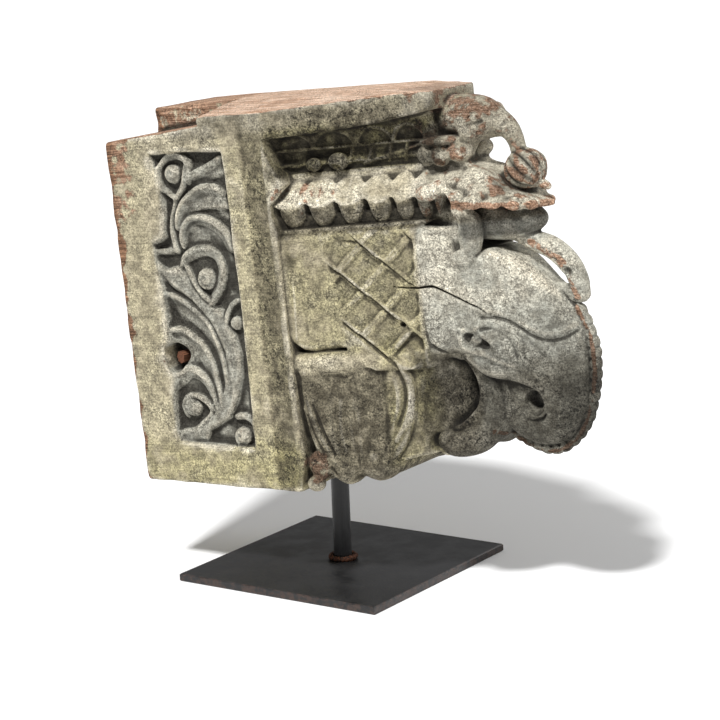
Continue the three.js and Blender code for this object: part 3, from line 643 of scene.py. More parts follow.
# The little beast on the canopy, built up from round limbs, and the ribbed fruit that it holds in
# its trunk.
add(*limb([(127, 0, 258, 12), (127.5, 0, 268, 12.5), (131, 0, 278, 14), (141, 0, 282, 15),
           (152, 0, 281.5, 15.5), (163, 0, 279.5, 15.5), (173, 0, 276.5, 11.5), (182, 0, 273, 8.5),
           (188.5, 0, 265.5, 6.8), (191.5, 0, 254, 5.8)]), blend=2)
add(*limb([(126, -9, 260, 8.5), (127, -9, 274, 10)]), blend=3)
add(*limb([(152, -6, 258, 6), (157, -7, 270, 9)]), blend=3)
carve(*limb([(141, -19, 262, 4), (147, -17, 266, 4.5)]), blend=3)
add(*blob((135.5, -13.5, 266.5), (16.5, 13.5, 3.4)), blend=0.8)
add(*blob((126, -15, 257), (9, 10, 8.5)), blend=2)
add(*blob((137, -17, 256), (8, 9, 8)), blend=2)
add(*blob((151, -14, 257.5), (9.5, 9, 7)), blend=2)
add(*blob((166.5, -13.0, 282.3), (2.8, 2.4, 2.2)), blend=0.8)
add(*limb([(159, -13.5, 285.5, 1.6), (164, -14, 287.5, 1.9), (171, -12.5, 287, 1.8), (176, -10.5, 283, 1.4)]),
    blend=2)
carve(*limb([(161, -15.5, 281.5, 1.1), (166, -15.8, 284.8, 1.1), (171.5, -14, 283, 1.0)]), blend=0.8)
carve(*limb([(157, -16.5, 276, 1.6), (164, -15.5, 276.5, 1.6), (171, -13, 278, 1.2)]), blend=2)
FRUIT_U, FRUIT_V, FRUIT_RADIUS, RIBS = 195.5, 241.5, 15.8, 11
DIAGONAL = 0.7071


def fruit(u, w, v):
    """A melon-like fruit, its ribs running along a slanting axis."""
    du, dv = u - FRUIT_U, v - FRUIT_V
    axis, side = (du - dv) * DIAGONAL, (du + dv) * DIAGONAL
    turn = np.arctan2(w, side)
    ribs = 2.2 * np.abs(np.cos(turn * RIBS / 2)) ** 0.9
    size = np.sqrt((axis / 1.04) ** 2 + side ** 2 + w ** 2 + 1e-6)
    return size - FRUIT_RADIUS + 1.7 - ribs * np.clip(1.3 - np.abs(axis) / 14, 0, 1)


add(fruit, (178, -17, 225), (213, 0, 259), blend=1)
add(*limb([(203, 0, 233, 4), (213, 0, 228.5, 2.8)]), blend=1.5)

# Both sides are carved alike, so the near half is mirrored. Then come the saw cuts, and on the near
# side alone the ledge and the peg hole, and last the bore that the rod goes up into.
field = np.concatenate([field, field[:, ::-1, :]], axis=1)
ws = np.concatenate([ws, -ws[::-1]])
np.clip(field, -10, 10, out=field)
all_u, all_w, all_v = us[:, None, None], ws[None, :, None], vs[None, None, :]


def cells_between(u_span, w_span, v_span):
    """The part of the field between three pairs of bounds."""
    return tuple(slice(*np.searchsorted(axis, span))
                 for axis, span in ((us, u_span), (ws, w_span), (vs, v_span)))


sawn_across = np.interp(ws, [-70, -30, 0, 35, 70], [299.5, 304.5, 307, 306, 304])
sawn_along = np.interp(us, [-131, -60, 20, 90, 140, 150], [303.5, 306, 308, 306, 303, 330])
top = np.minimum(sawn_across[None, :], sawn_along[:, None])
part = cells_between((-math.inf, BODY_END), (-math.inf, math.inf), (278, math.inf))
field[part] = smooth_max(field[part], (all_v - top[:, :, None])[part], 0.8)
LEDGE_FLOOR, LEDGE_RISE, LEDGE_BACK, LEDGE_END = 284.3, 0.0854, -6, -40
part = cells_between((-math.inf, -36), (-math.inf, 4), (278, math.inf))
ledge = smooth_max(
    smooth_max(LEDGE_FLOOR + (all_u + 136) * LEDGE_RISE - all_v, all_w - LEDGE_BACK, 1.0),
    all_u - LEDGE_END + (all_v - 292.5) * 0.29, 1.0)[part]
field[part] = smooth_max(field[part], -ledge, 1.0)

PEG_U, PEG_V, PEG_HOLE_RADIUS, PEG_HOLE_FLOOR = -91.0, 118.0, 8.6, -46
part = cells_between((-112, -70), (-math.inf, -40), (95, 140))
hole_turn = np.arctan2((all_v - PEG_V), (all_u - PEG_U))
hole = np.hypot(all_u - PEG_U, (all_v - PEG_V) / 1.3) - PEG_HOLE_RADIUS - 0.9 * np.sin(3 * hole_turn + 1)
hole = smooth_max(hole, all_w - PEG_HOLE_FLOOR, 1.0)[part]
field[part] = smooth_max(field[part], -hole, 1.2)

BORE_RADIUS, BORE_TOP = 7.4, 110.4
upright_x = all_u * math.cos(LEAN) - all_v * math.sin(LEAN)
upright_z = all_u * math.sin(LEAN) + all_v * math.cos(LEAN) + FRAME_FOOT
part = cells_between((-14, 24), (-12, 12), (-math.inf, 60))
bore = np.hypot(upright_x, all_w) - BORE_RADIUS
bore = np.maximum(bore, upright_z - BORE_TOP)[part]
field[part] = np.maximum(field[part], -bore)

# A split opens from the blanket across the cheek on the near side
SPLIT = spline([
    (98, 165), (106, 163.5), (116, 163), (127, 163.5), (136, 159), (144, 154.5), (153, 149.5),
    (161, 145.5), (168, 141),
], 4)
SPLIT_DEPTH, SPLIT_HALF_WIDTH = 7, 0.9
split_aside, split_along = stroke(side_u, side_v, SPLIT)
split_width = SPLIT_HALF_WIDTH * np.sin(math.pi * np.clip(split_along, 0.02, 0.98)) ** 0.5
part = cells_between((94, 172), (-math.inf, 0), (136, 170))
split = (np.abs(split_aside) - split_width)[part[0], part[2]][:, None, :]
near_half = np.interp(us, [94, 140, 172], [45, 31, 23.5])[part[0], None, None]
split_floor = all_w[:, part[1]] + near_half - SPLIT_DEPTH
field[part] = np.maximum(field[part], -np.maximum(split, split_floor))


def blurred(grid, reach):
    """The grid averaged over a box reach cells each way, twice."""
    for _ in range(2):
        for axis in range(3):
            n = grid.shape[axis]
            padded = np.concatenate([
                np.zeros_like(grid.take([0], axis)),
                np.cumsum(np.pad(grid, [(reach, reach) if a == axis else (0, 0) for a in range(3)],
                                 mode="edge"), axis=axis, dtype=np.float32)], axis)
            upper = [slice(None)] * 3
            under = [slice(None)] * 3
            upper[axis], under[axis] = slice(2 * reach + 1, 2 * reach + 1 + n), slice(0, n)
            grid = (padded[tuple(upper)] - padded[tuple(under)]) / (2 * reach + 1)
    return grid


# Wear rounds and chips what stands out, then the tool's unevenness goes over everything
soft = blurred(field, max(1, round(2 / VOXEL)))
chips = 0.55 + 0.9 * np.clip(noise(9, 5), -0.4, 1.2) + 0.35 * noise(4, 6)
field = np.maximum(field, soft - np.clip(chips, 0.1, 2.0))
TOOL_UNEVENNESS = 0.28
field += TOOL_UNEVENNESS * noise(13, 1)
wide = blurred(np.clip(field, -6, 6), max(1, round(4 / VOXEL)))


def drawn_surface(grid):
    """The surface where the grid is nought: one point in each cell it passes through."""
    inside = grid < 0
    shape = [n - 1 for n in grid.shape]
    count = np.zeros(shape, np.int8)
    corners = [(a, b, c) for a in (0, 1) for b in (0, 1) for c in (0, 1)]
    for a, b, c in corners:
        count += inside[a:a + shape[0], b:b + shape[1], c:c + shape[2]]
    cells = np.argwhere((count > 0) & (count < 8))
    number = np.full(shape, -1, np.int32)
    number[tuple(cells.T)] = np.arange(len(cells))
    value = {k: grid[tuple((cells + k).T)] for k in corners}
    total = np.zeros((len(cells), 3), np.float32)
    hits = np.zeros(len(cells), np.float32)
    for k in corners:
        for axis in range(3):
            if k[axis]:
                continue
            other = tuple(1 if a == axis else k[a] for a in range(3))
            f0, f1 = value[k], value[other]
            crossed = (f0 < 0) != (f1 < 0)
            t = np.where(crossed, f0 / np.where(crossed, f0 - f1, 1), 0)
            for a in range(3):
                total[:, a] += crossed * (t if a == axis else k[a])
            hits += crossed
    points = cells + total / hits[:, None]
    quads = []
    for axis in range(3):
        b, c = (axis + 1) % 3, (axis + 2) % 3
        first = [slice(1, -1)] * 3
        first[axis] = slice(0, -1)
        second = list(first)
        second[axis] = slice(1, None)
        lo, hi = inside[tuple(first)], inside[tuple(second)]
        place = np.argwhere(lo != hi)
        leaving = lo[tuple(place.T)]
        for k in (b, c):
            place[:, k] += 1
        ring = []
        for db, dc in ((0, 0), (-1, 0), (-1, -1), (0, -1)):
            q = place.copy()
            q[:, b] += db
            q[:, c] += dc
            ring.append(number[tuple(q.T)])
        ring = np.stack(ring, -1)
        ring[~leaving] = ring[~leaving][:, ::-1]
        quads.append(ring)
    return points, np.concatenate(quads)


def sampled(grid, points):
    """The grid's value at points given in cells."""
    i = np.clip(points.astype(int), 0, np.array(grid.shape) - 2)
    f = points - i
    out = 0
    for a in (0, 1):
        for b in (0, 1):
            for c in (0, 1):
                weight = ((f[:, 0] if a else 1 - f[:, 0]) * (f[:, 1] if b else 1 - f[:, 1])
                          * (f[:, 2] if c else 1 - f[:, 2]))
                out = out + weight * grid[i[:, 0] + a, i[:, 1] + b, i[:, 2] + c]
    return out


def mesh_from(name, points, quads):
    """A mesh of four-sided faces."""
    mesh = bpy.data.meshes.new(name)
    mesh.vertices.add(len(points))
    mesh.vertices.foreach_set("co", points.astype(np.float32).ravel())
    mesh.loops.add(quads.size)
    mesh.loops.foreach_set("vertex_index", quads.astype(np.int32).ravel())
    mesh.polygons.add(len(quads))
    mesh.polygons.foreach_set("loop_start", np.arange(0, quads.size, 4, dtype=np.int32))
    mesh.update(calc_edges=True)
    mesh.validate()
    return mesh


def in_world(points):
    """Points of the corbel's own frame, leaned as it is mounted, in metres."""
    u, w, v = points.T
    return np.stack([
        u * math.cos(LEAN) - v * math.sin(LEAN), w,
        FRAME_FOOT + u * math.sin(LEAN) + v * math.cos(LEAN),
    ], -1) / 1000


def in_block(points):
    """The way back: from metres in the world to the corbel's own frame."""
    x, y, z = points.T * 1000
    z = z - FRAME_FOOT
    return np.stack([
        x * math.cos(LEAN) + z * math.sin(LEAN), y, z * math.cos(LEAN) - x * math.sin(LEAN),
    ], -1)


FIRST = np.array([us[0], ws[0], vs[0]])
MOST_TRIANGLES, FAR_SIDE_SHARE, BOX_CLEARANCE = 196000, 0.60, 0.00005
points, quads = drawn_surface(field)
placed = in_world(FIRST + points * VOXEL)
carving = bpy.data.objects.new("carved_corbel", mesh_from("carved_corbel", placed, quads))
bpy.context.scene.collection.objects.link(carving)
# The plainer far side is thinned first, then the whole, down to what one piece may have
far_side = carving.vertex_groups.new(name="far_side")
far_side.add(np.flatnonzero(in_block(placed)[:, 1] > -3).tolist(), 1.0, "REPLACE")
fewer = carving.modifiers.new("fewer", "DECIMATE")
fewer.vertex_group = "far_side"
fewer.ratio = FAR_SIDE_SHARE
thin = carving.modifiers.new("thin", "DECIMATE")
thin.ratio = min(1.0, MOST_TRIANGLES / (2 * FAR_SIDE_SHARE * len(quads)))
thinned = bpy.data.meshes.new_from_object(
    carving.evaluated_get(bpy.context.evaluated_depsgraph_get()))
carving.modifiers.clear()
carving.data = thinned
thinned.polygons.foreach_set("use_smooth", np.ones(len(thinned.polygons), bool))

# The skin is kept inside the solid's own box, and is then looked up in the field for its wear, for the
# painted shade in its hollows and for the painted highlight on what stands proud
skin = np.empty(len(thinned.vertices) * 3, np.float32)
thinned.vertices.foreach_get("co", skin)
lowest, highest = np.array(cad_box[0]) + BOX_CLEARANCE, np.array(cad_box[1]) - BOX_CLEARANCE
skin = np.clip(skin.reshape(-1, 3), lowest, highest)
thinned.vertices.foreach_set("co", skin.ravel().astype(np.float32))
thinned.update()
skin = in_block(skin.reshape(-1, 3).astype(float))
cell = (skin - FIRST) / VOXEL
relief_fine = sampled(soft - field, cell)
relief_wide = sampled(wide - np.clip(field, -6, 6), cell)


def give(mesh, name, values):
    """One number at each point of a mesh, for its material to read."""
    mesh.attributes.new(name, "FLOAT", "POINT").data.foreach_set(
        "value", np.asarray(values, np.float32))


give(thinned, "proud", np.clip(0.5 + 0.3 * relief_fine, 0, 1))
give(thinned, "sunk", np.clip(0.5 - 0.3 * relief_wide, 0, 1))


# The corbel's finish: old limewash and grey-green paint, worn to bare wood on what stands proud, with painted
# shade darkening the hollows, the undersides and whole shaded parts, and a painted highlight of pale chalk on
# what stands proud and on lit faces. Each share is given at the points, the flecks in the shader.
def linear(red, green, blue):
    """A colour as the shader wants it, from its red, green and blue on paper, 0 to 255."""
    return tuple(((c / 255 + 0.055) / 1.055) ** 2.4 for c in (red, green, blue)) + (1,)


def node(tree, kind, inputs=(), **settings):
    """A node with its settings, each input a value or another node's socket."""
    made = tree.nodes.new("ShaderNode" + kind)
    for name, value in settings.items():
        setattr(made, name, value)
    for name, value in dict(inputs).items():
        if isinstance(value, bpy.types.NodeSocket):
            tree.links.new(value, made.inputs[name])
        else:
            made.inputs[name].default_value = value
    return made


def sums(tree, operation, first, second, clamp=False):
    """Two values brought together by one operation, kept from 0 to 1 where clamp is set."""
    return node(tree, "Math", {0: first, 1: second}, operation=operation, use_clamp=clamp).outputs[0]


def times(tree, first, second, clamp=False):
    return sums(tree, "MULTIPLY", first, second, clamp)


def plus(tree, first, second, clamp=False):
    return sums(tree, "ADD", first, second, clamp)


def fade(tree, value, low, high, start=0.0, end=1.0):
    """A value eased from start to end between low and high."""
    made = node(tree, "MapRange", {0: value, 1: low, 2: high, 3: start, 4: end},
                interpolation_type="SMOOTHSTEP")
    return made.outputs[0]


def blend(tree, amount, first, second):
    """The first colour where the amount is 0, the second where it is 1."""
    return node(tree, "Mix", {0: amount, 6: first, 7: second}, data_type="RGBA").outputs[2]


def group(name, inputs, outputs):
    """An empty shader group with its sockets, as (tree, its input node, its output node)."""
    tree = bpy.data.node_groups.new(name, "ShaderNodeTree")
    for socket, kind, value in inputs:
        made = tree.interface.new_socket(socket, in_out="INPUT", socket_type="NodeSocket" + kind)
        if value is not None:
            made.default_value = value
    for socket in outputs:
        tree.interface.new_socket(socket, in_out="OUTPUT", socket_type="NodeSocketFloat")
    return tree, tree.nodes.new("NodeGroupInput"), tree.nodes.new("NodeGroupOutput")


def use(tree, made, inputs):
    """A group placed in a material, as its outputs."""
    return node(tree, "Group", inputs, node_tree=made).outputs


def warped(tree, place, scale, detail, reach):
    """A place pushed about by noise, up to reach metres."""
    drift = node(tree, "TexNoise", {"Vector": place, "Scale": scale, "Detail": detail})
    push = node(tree, "VectorMath", {0: drift.outputs["Color"], 1: (reach,) * 3}, operation="MULTIPLY")
    return node(tree, "VectorMath", {0: place, 1: push.outputs[0]}, operation="ADD").outputs[0]


def finish(name):
    """A new material, with its node tree and its shader."""
    made = bpy.data.materials.new(name)
    made.use_nodes = True
    return made, made.node_tree, made.node_tree.nodes["Principled BSDF"]


def pressed(tree, shader, height, distance):
    """A height pattern pressed into a finish, distance metres deep."""
    bump = node(tree, "Bump", {"Height": height, "Strength": 1.0, "Distance": distance})
    tree.links.new(bump.outputs[0], shader.inputs["Normal"])


# Flecks: patches of one size, that cover more or less of the surface
flecks, given, out = group("flecks", [
    ("Place", "Vector", None), ("Size", "Float", 0.01), ("Cut", "Float", 0.5), ("Soft", "Float", 0.1),
], ["Mask", "Height"])
cloud = node(flecks, "TexNoise", {
    "Vector": given.outputs["Place"], "Scale": sums(flecks, "DIVIDE", 1.0, given.outputs["Size"]),
    "Detail": 5.0, "Roughness": 0.62,
}).outputs[0]
cut_low = sums(flecks, "SUBTRACT", given.outputs["Cut"], given.outputs["Soft"])
cut_high = plus(flecks, given.outputs["Cut"], given.outputs["Soft"])
flecks.links.new(fade(flecks, cloud, cut_low, cut_high), out.inputs["Mask"])
flecks.links.new(cloud, out.inputs["Height"])

# Grain: fibres that run along the block, each far longer than it is thick
grain, given, out = group("grain", [
    ("Place", "Vector", None), ("Pitch", "Float", 0.0012), ("Length", "Float", 0.06),
], ["Mask", "Height"])
moved = warped(grain, given.outputs["Place"], 14.0, 2.0, 0.006)
along = sums(grain, "DIVIDE", 1.0, given.outputs["Length"])
crosswise = sums(grain, "DIVIDE", 1.0, given.outputs["Pitch"])
stretch = node(grain, "CombineXYZ", {0: along, 1: crosswise, 2: crosswise}).outputs[0]
fibres = node(grain, "VectorMath", {0: moved, 1: stretch}, operation="MULTIPLY").outputs[0]
fibre = node(grain, "TexNoise", {
    "Vector": fibres, "Scale": 1.0, "Detail": 4.0, "Roughness": 0.6,
}).outputs[0]
grain.links.new(fade(grain, fibre, 0.32, 0.70), out.inputs["Mask"])
grain.links.new(fibre, out.inputs["Height"])

# Crackle: the fine net of cracks in dry paint and at checks in the wood
crackle, given, out = group("crackle", [
    ("Place", "Vector", None), ("Size", "Float", 0.008), ("Width", "Float", 0.06),
], ["Mask", "Height"])
web = node(crackle, "TexVoronoi", {
    "Vector": warped(crackle, given.outputs["Place"], 160.0, 3.0, 0.004),
    "Scale": sums(crackle, "DIVIDE", 1.0, given.outputs["Size"]),
}, feature="DISTANCE_TO_EDGE").outputs[0]
crackle.links.new(fade(crackle, web, 0.0, given.outputs["Width"], 1.0, 0.0), out.inputs["Mask"])
crackle.links.new(fade(crackle, web, 0.0, 0.3), out.inputs["Height"])

WARM_GREY, MOSS, COOL_GREY = linear(178, 168, 144), linear(168, 159, 110), linear(178, 178, 167)
CHALK_AND_HIGHLIGHT, GRIME_AND_SHADE, SOOT_AND_SHADE = linear(224, 216, 196), linear(82, 74, 58), linear(36, 32, 26)
PALE_WOOD, RED_WOOD, BROWN_WOOD = linear(230, 208, 188), linear(184, 140, 108), linear(112, 82, 62)

wood, tree, shader = finish("weathered_wood")
shader.inputs["Specular IOR Level"].default_value = 0.25
shader.inputs["Roughness"].default_value = 0.88
coordinates = node(tree, "TexCoord").outputs["Object"]
place = node(tree, "Mapping", {"Vector": coordinates, "Rotation": (0, LEAN, 0)}).outputs[0]
share = {name: node(tree, "Attribute", attribute_name=name).outputs["Fac"]
         for name in ("moss", "cool", "bare", "grime_and_shade", "chalk_and_highlight", "fibrous", "painted_shade_and_soot", "proud", "sunk")}
patches, spots, lumps, pits, specks, grit = [
    use(tree, flecks, {"Place": place, "Size": size, "Cut": cut, "Soft": soft_cut})
    for size, cut, soft_cut in [
        (0.026, 0.5, 0.16), (0.0085, 0.52, 0.12), (0.0048, 0.5, 0.16), (0.0026, 0.57, 0.03),
        (0.0013, 0.55, 0.08), (0.0011, 0.5, 0.16),
    ]
]
fibre = use(tree, grain, {"Place": place, "Pitch": 0.0011, "Length": 0.045})
cracks = use(tree, crackle, {"Place": place, "Size": 0.0075, "Width": 0.07})

# Paint: warm grey, mossy or cool by place, dulled in spots, chalky in patches, and paler chalk on what stands
# proud and on lit faces as a painted highlight
mossy = times(tree, share["moss"], fade(tree, patches["Height"], 0.3, 0.62, 0.15, 1.25), True)
paint = blend(tree, mossy, WARM_GREY, MOSS)
paint = blend(tree, share["cool"], paint, COOL_GREY)
paint = blend(tree, times(tree, spots["Mask"], 0.38), paint, GRIME_AND_SHADE)
# Painted highlight and wear: what stands proud is paled toward chalk and worn toward bare wood
wear_and_highlight = fade(tree, share["proud"], 0.53, 0.72)
chalk_and_highlight_share = plus(tree, times(tree, share["chalk_and_highlight"], patches["Mask"]), times(tree, wear_and_highlight, 0.55), True)
paint = blend(tree, chalk_and_highlight_share, paint, CHALK_AND_HIGHLIGHT)

# Bare wood: pale fibres on the sawn top, redder and browner wherever the paint has worn away
bared = plus(tree, share["bare"], times(tree, wear_and_highlight, 0.22))
bared = plus(tree, bared, times(tree, sums(tree, "SUBTRACT", spots["Height"], 0.5), 1.5))
bared = fade(tree, bared, 0.44, 0.62)
timber = blend(tree, fibre["Mask"], RED_WOOD, PALE_WOOD)
timber = blend(tree, share["fibrous"], blend(tree, fibre["Mask"], BROWN_WOOD, RED_WOOD), timber)
colour = blend(tree, bared, paint, timber)

# Dirt and painted shade: stains, pits and specks laid thickest where shade falls, so partly painted shade;
# soot in pits, specks and cracks; and painted shade, as dark as soot, in the hollows and concave places
stain_and_shade = times(tree, share["grime_and_shade"], fade(tree, spots["Height"], 0.3, 0.62))
colour = blend(tree, times(tree, stain_and_shade, 0.85, True), colour, GRIME_AND_SHADE)
pitted = times(tree, pits["Mask"], fade(tree, share["grime_and_shade"], 0.0, 0.7, 0.5, 1.0))
pitted = times(tree, pitted, fade(tree, patches["Height"], 0.42, 0.60, 0.35, 1.0))
speckled = times(tree, specks["Mask"], fade(tree, share["grime_and_shade"], 0.0, 1.0, 0.30, 0.75))
cracked = times(tree, cracks["Mask"], fade(tree, patches["Height"], 0.48, 0.62, 0.0, 0.6))
cracked = times(tree, cracked, sums(tree, "SUBTRACT", 1.0, bared, True))
# Painted shade: hollows and concave places are darkened toward soot
hollow = sums(tree, "MAXIMUM", fade(tree, share["sunk"], 0.56, 0.85, 0.0, 1.0),
              fade(tree, share["proud"], 0.47, 0.30, 0.0, 0.9))
dark = sums(tree, "MAXIMUM", sums(tree, "MAXIMUM", pitted, speckled),
            sums(tree, "MAXIMUM", cracked, hollow), True)
colour = blend(tree, times(tree, dark, 0.88), colour, SOOT_AND_SHADE)

# Tone: painted shade, with some old soot, darkens whole parts, most under the slab, petals and canopy, in the
# chest and on the head's lower half, and grit, fibres and spots make the rest uneven
tone = sums(tree, "SUBTRACT", 1.12, times(tree, share["painted_shade_and_soot"], 0.92))
gritty = times(tree, fade(tree, grit["Height"], 0.38, 0.62, -0.40, 0.34),
               fade(tree, patches["Height"], 0.36, 0.64, 0.4, 1.15))
tone = times(tree, tone, plus(tree, gritty, 1.0))
tone = times(tree, tone, fade(tree, fibre["Height"], 0.36, 0.64, 0.82, 1.12))
tone = times(tree, tone, fade(tree, spots["Height"], 0.32, 0.66, 1.10, 0.88))
colour = node(tree, "VectorMath", {0: colour, 3: tone}, operation="SCALE").outputs[0]
tree.links.new(colour, shader.inputs["Base Color"])

height = times(tree, pits["Mask"], -0.5)
for pattern, amount in [(grit["Height"], 0.8), (lumps["Height"], 2.6), (cracked, -0.6),
                        (times(tree, fibre["Height"], bared), 1.6)]:
    height = plus(tree, height, times(tree, pattern, amount))
pressed(tree, shader, height, 0.0007)

# Where each finish lies on the carving: shares from 0 to 1 at each point, by place and facing
u, w, v = skin.T
near_w = np.abs(w)
directions = np.empty(len(thinned.vertices) * 3, np.float32)
thinned.vertices.foreach_get("normal", directions)
directions = directions.reshape(-1, 3)
toward_wall = step(0.45, 0.8, -directions[:, 0])


def box_share(u0, u1, v0, v1, soft=4.0):
    """1 inside a box of the side view, falling to 0 over soft past its edges."""
    return between(u0, u1, u, soft) * between(v0, v1, v, soft)


def round_share(cu, cv, ru, rv):
    """1 inside an oval of the side view, falling to 0 a little past its edge."""
    return step(1.25, 0.75, np.hypot((u - cu) / ru, (v - cv) / rv))


def strongest(*shares):
    """The greatest of the shares at each point."""
    return np.maximum.reduce(shares)


on_top = step(0.55, 0.9, directions[:, 2]) * step(280, 284, v) * (u < SLAB_END + 5)
arris_wear = 2.5 * np.sin(v * 0.21) + 1.5 * np.sin(v * 0.083) - 4.0 * step(130, 190, v)
wall_end = strongest(step(-126.5, -129.5, u + arris_wear), toward_wall * (u < -124))
in_panel = between(-98, -22, u, 1.5) * between(50, 273, v, 1.5) * step(0.5, 2.5, 70 - near_w)
stile = between(-21, 18, u, 1.5) * step(290, 280, v)
on_head = step(117, 121, u) * step(212, 206, v)
on_canopy = step(112, 122, u) * step(206, 214, v) * (1 - on_top) * step(-2, 3, 0.75 * (u - 100) - (v - 255))
on_beast = step(108, 114, u) * step(255, 262, v) * step(30, 22, near_w)
head_low = step(106, 84, v - 0.15 * (u - 150)) * on_head
under_slab = box_share(19, 142, 250, 285, 3)
petal_low = box_share(18, 142, 206, 226, 2)
petal_up = box_share(18, 142, 228, 250, 2)
foot_zone = box_share(20, 88, 22, 104, 5)
chest = box_share(106, 150, 40, 116, 5)
blanket_zone = box_share(22, 117, 118, 208, 3)

moss = 0.15 + 0.70 * box_share(-140, 22, 0, 52, 8) + 0.20 * box_share(-131, -98, 50, 300, 8)
moss += 0.30 * stile + 0.5 * blanket_zone + 0.6 * box_share(84, 130, 30, 125, 6) + 0.6 * under_slab
moss *= (1 - on_head * step(118, 124, u)) * (1 - 0.8 * in_panel) * (1 - on_canopy)
cool = np.maximum(0.85 * in_panel, on_head * (0.9 - 0.35 * head_low)) * (1 - 0.8 * chest)
cool = np.maximum(cool, 0.35 * on_canopy) * (1 - 0.6 * on_beast)
crest_near = np.abs(stroke(u, v, CREST)[0])
horn_near = np.abs(stroke(u, v, [(198, 190), (222, 175), (230, 150)])[0])
lip_near = np.abs(v - 218.5 + 0.1 * (u - 190))
bare = strongest(
    0.95 * on_top,
    0.70 * wall_end,
    0.80 * toward_wall * step(272, 276, v) * (u < -60),
    0.62 * step(285, 288, v) * step(-34, -60, u) * step(14, 9, near_w),
    0.40 * on_beast + 0.16 * on_beast * round_share(160, 292, 26, 10),
    0.36 * on_canopy + 0.25 * step(4.5, 1.5, lip_near) * on_canopy * (u > BODY_END),
    0.5 * round_share(196, 241, 19, 19),
    0.5 * box_share(-124, -106, 222, 290, 6),
    0.62 * round_share(30, 36, 11, 12) + 0.5 * round_share(40, 238, 26, 7) * petal_up,
    0.58 * step(3.5, 0.5, crest_near),
    0.52 * step(5, 2, horn_near),
    0.55 * step(300, 304, v + 1.5 * np.sin(u * 0.31)) * (u < SLAB_END + 5),
)
# Grime: real dirt, laid heaviest under the slab, the lower petals and the canopy's lip, in the chest and on
# the head's lower half, where shade falls, so partly painted shade
grime_and_shade = 0.12 + 0.75 * under_slab + 0.6 * petal_low + 0.55 * foot_zone + 0.35 * chest + 0.35 * head_low
grime_and_shade += 0.45 * between(-4, 15, u, 2) * stile + 0.3 * step(288, 284, v) * box_share(20, 142, 278, 292, 2)
grime_and_shade += 0.5 * on_canopy * step(218, 210, v) + 0.30 * round_share(160, 120, 12, 12)
grime_and_shade += 0.5 * box_share(40, 118, 284, 300, 4)
grime_and_shade *= (1 - 0.7 * on_top) * (1 - 0.6 * petal_up)
# Chalk: real limewash in patches, with a painted highlight on the lit upper faces of the petals, the top of
# the head and the canopy
chalk_and_highlight = 0.25 + 0.5 * petal_up + 0.5 * box_share(118, 215, 150, 205, 8) + 0.4 * on_canopy
chalk_and_highlight += 0.6 * box_share(-131, 20, 286, 300, 4)
chalk_and_highlight += 0.5 * step(2.5, 0.5, np.abs(u - 102.5)) * box_share(90, 106, 60, 106, 3)
chalk_and_highlight *= 1 - 0.7 * np.clip(grime_and_shade, 0, 1)
fibrous = np.clip(on_top * (u > -48) + 0.35 * (1 - wall_end), 0, 1)
# Painted shade, with some soot: the head darker toward its lower half, which turns from the light, and darker
# under the canopy, in the chest and the trunk's pocket, under the slab and the petals and in the fruit's
# grooves, and a little over the panel, stile, blanket, foot, beast and wall end
turned = v - 0.15 * (u - 150)
painted_shade_and_soot = np.interp(turned, [50, 80, 105, 135, 155], [0.82, 0.78, 0.55, 0.18, 0.08]) * on_head
painted_shade_and_soot = painted_shade_and_soot + 0.25 * on_head * step(200, 225, u) * (1 - step(70, 110, turned))
in_quilt = sampled(to_crease[:, None, :].repeat(2, axis=1), cell * (1, 0, 1))
on_quilt = sampled(on_blanket[:, None, :].repeat(2, axis=1), cell * (1, 0, 1)) * blanket_zone
grooved = 0.5 + 0.5 * np.cos(np.arctan2(w, ((u - FRUIT_U) + (v - FRUIT_V)) * DIAGONAL) * RIBS)
painted_shade_and_soot = strongest(
    painted_shade_and_soot,
    0.85 * chest,
    0.9 * round_share(158, 78, 16, 22),
    1.05 * round_share(142, 82, 9, 20) * step(24, 16, near_w),
    0.72 * under_slab,
    0.55 * petal_low,
    0.34 * in_panel,
    0.52 * between(-2, 18, u, 2) * step(290, 284, v) * (v > 20),
    0.50 * step(279, 285, v) * (1 - on_top) * step(-90, -30, u),
    0.16 * blanket_zone + 0.30 * on_quilt * step(2.5, 6.0, in_quilt),
    0.62 * foot_zone,
    0.42 * box_share(86, 112, 25, 108, 4),
    0.42 * on_beast,
    0.34 * wall_end,
    0.85 * box_share(157, 224, 196, 214, 3),
    (0.85 - 0.6 * grooved) * round_share(196, 241.5, 15.5, 15.5),
)
for name, values in (("painted_shade_and_soot", painted_shade_and_soot), ("moss", moss), ("cool", cool), ("bare", bare), ("grime_and_shade", grime_and_shade),
                     ("chalk_and_highlight", chalk_and_highlight), ("fibrous", fibrous)):
    give(thinned, name, np.clip(values, 0, 1))
thinned.materials.clear()
thinned.materials.append(wood)
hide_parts("corbel")
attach(carving, "root")

# Peg: the stub of a brown wooden peg, driven into its hole in the panel and snapped off short, so
# that its torn end shows. The solid gives its shape, and only its finish is made here.
peg_wood, tree, shader = finish("brown_wood")
place = node(tree, "Mapping", {
    "Vector": node(tree, "TexCoord").outputs["Object"], "Rotation": (0, LEAN, math.pi / 2),
}).outputs[0]
fibre = use(tree, grain, {"Place": place, "Pitch": 0.0012, "Length": 0.02})
colour = blend(tree, fibre["Mask"], linear(74, 44, 30), linear(128, 82, 56))
tree.links.new(colour, shader.inputs["Base Color"])
shader.inputs["Roughness"].default_value = 0.9
pressed(tree, shader, fibre["Height"], 0.0004)
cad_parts["peg"].material_slots[0].material = peg_wood

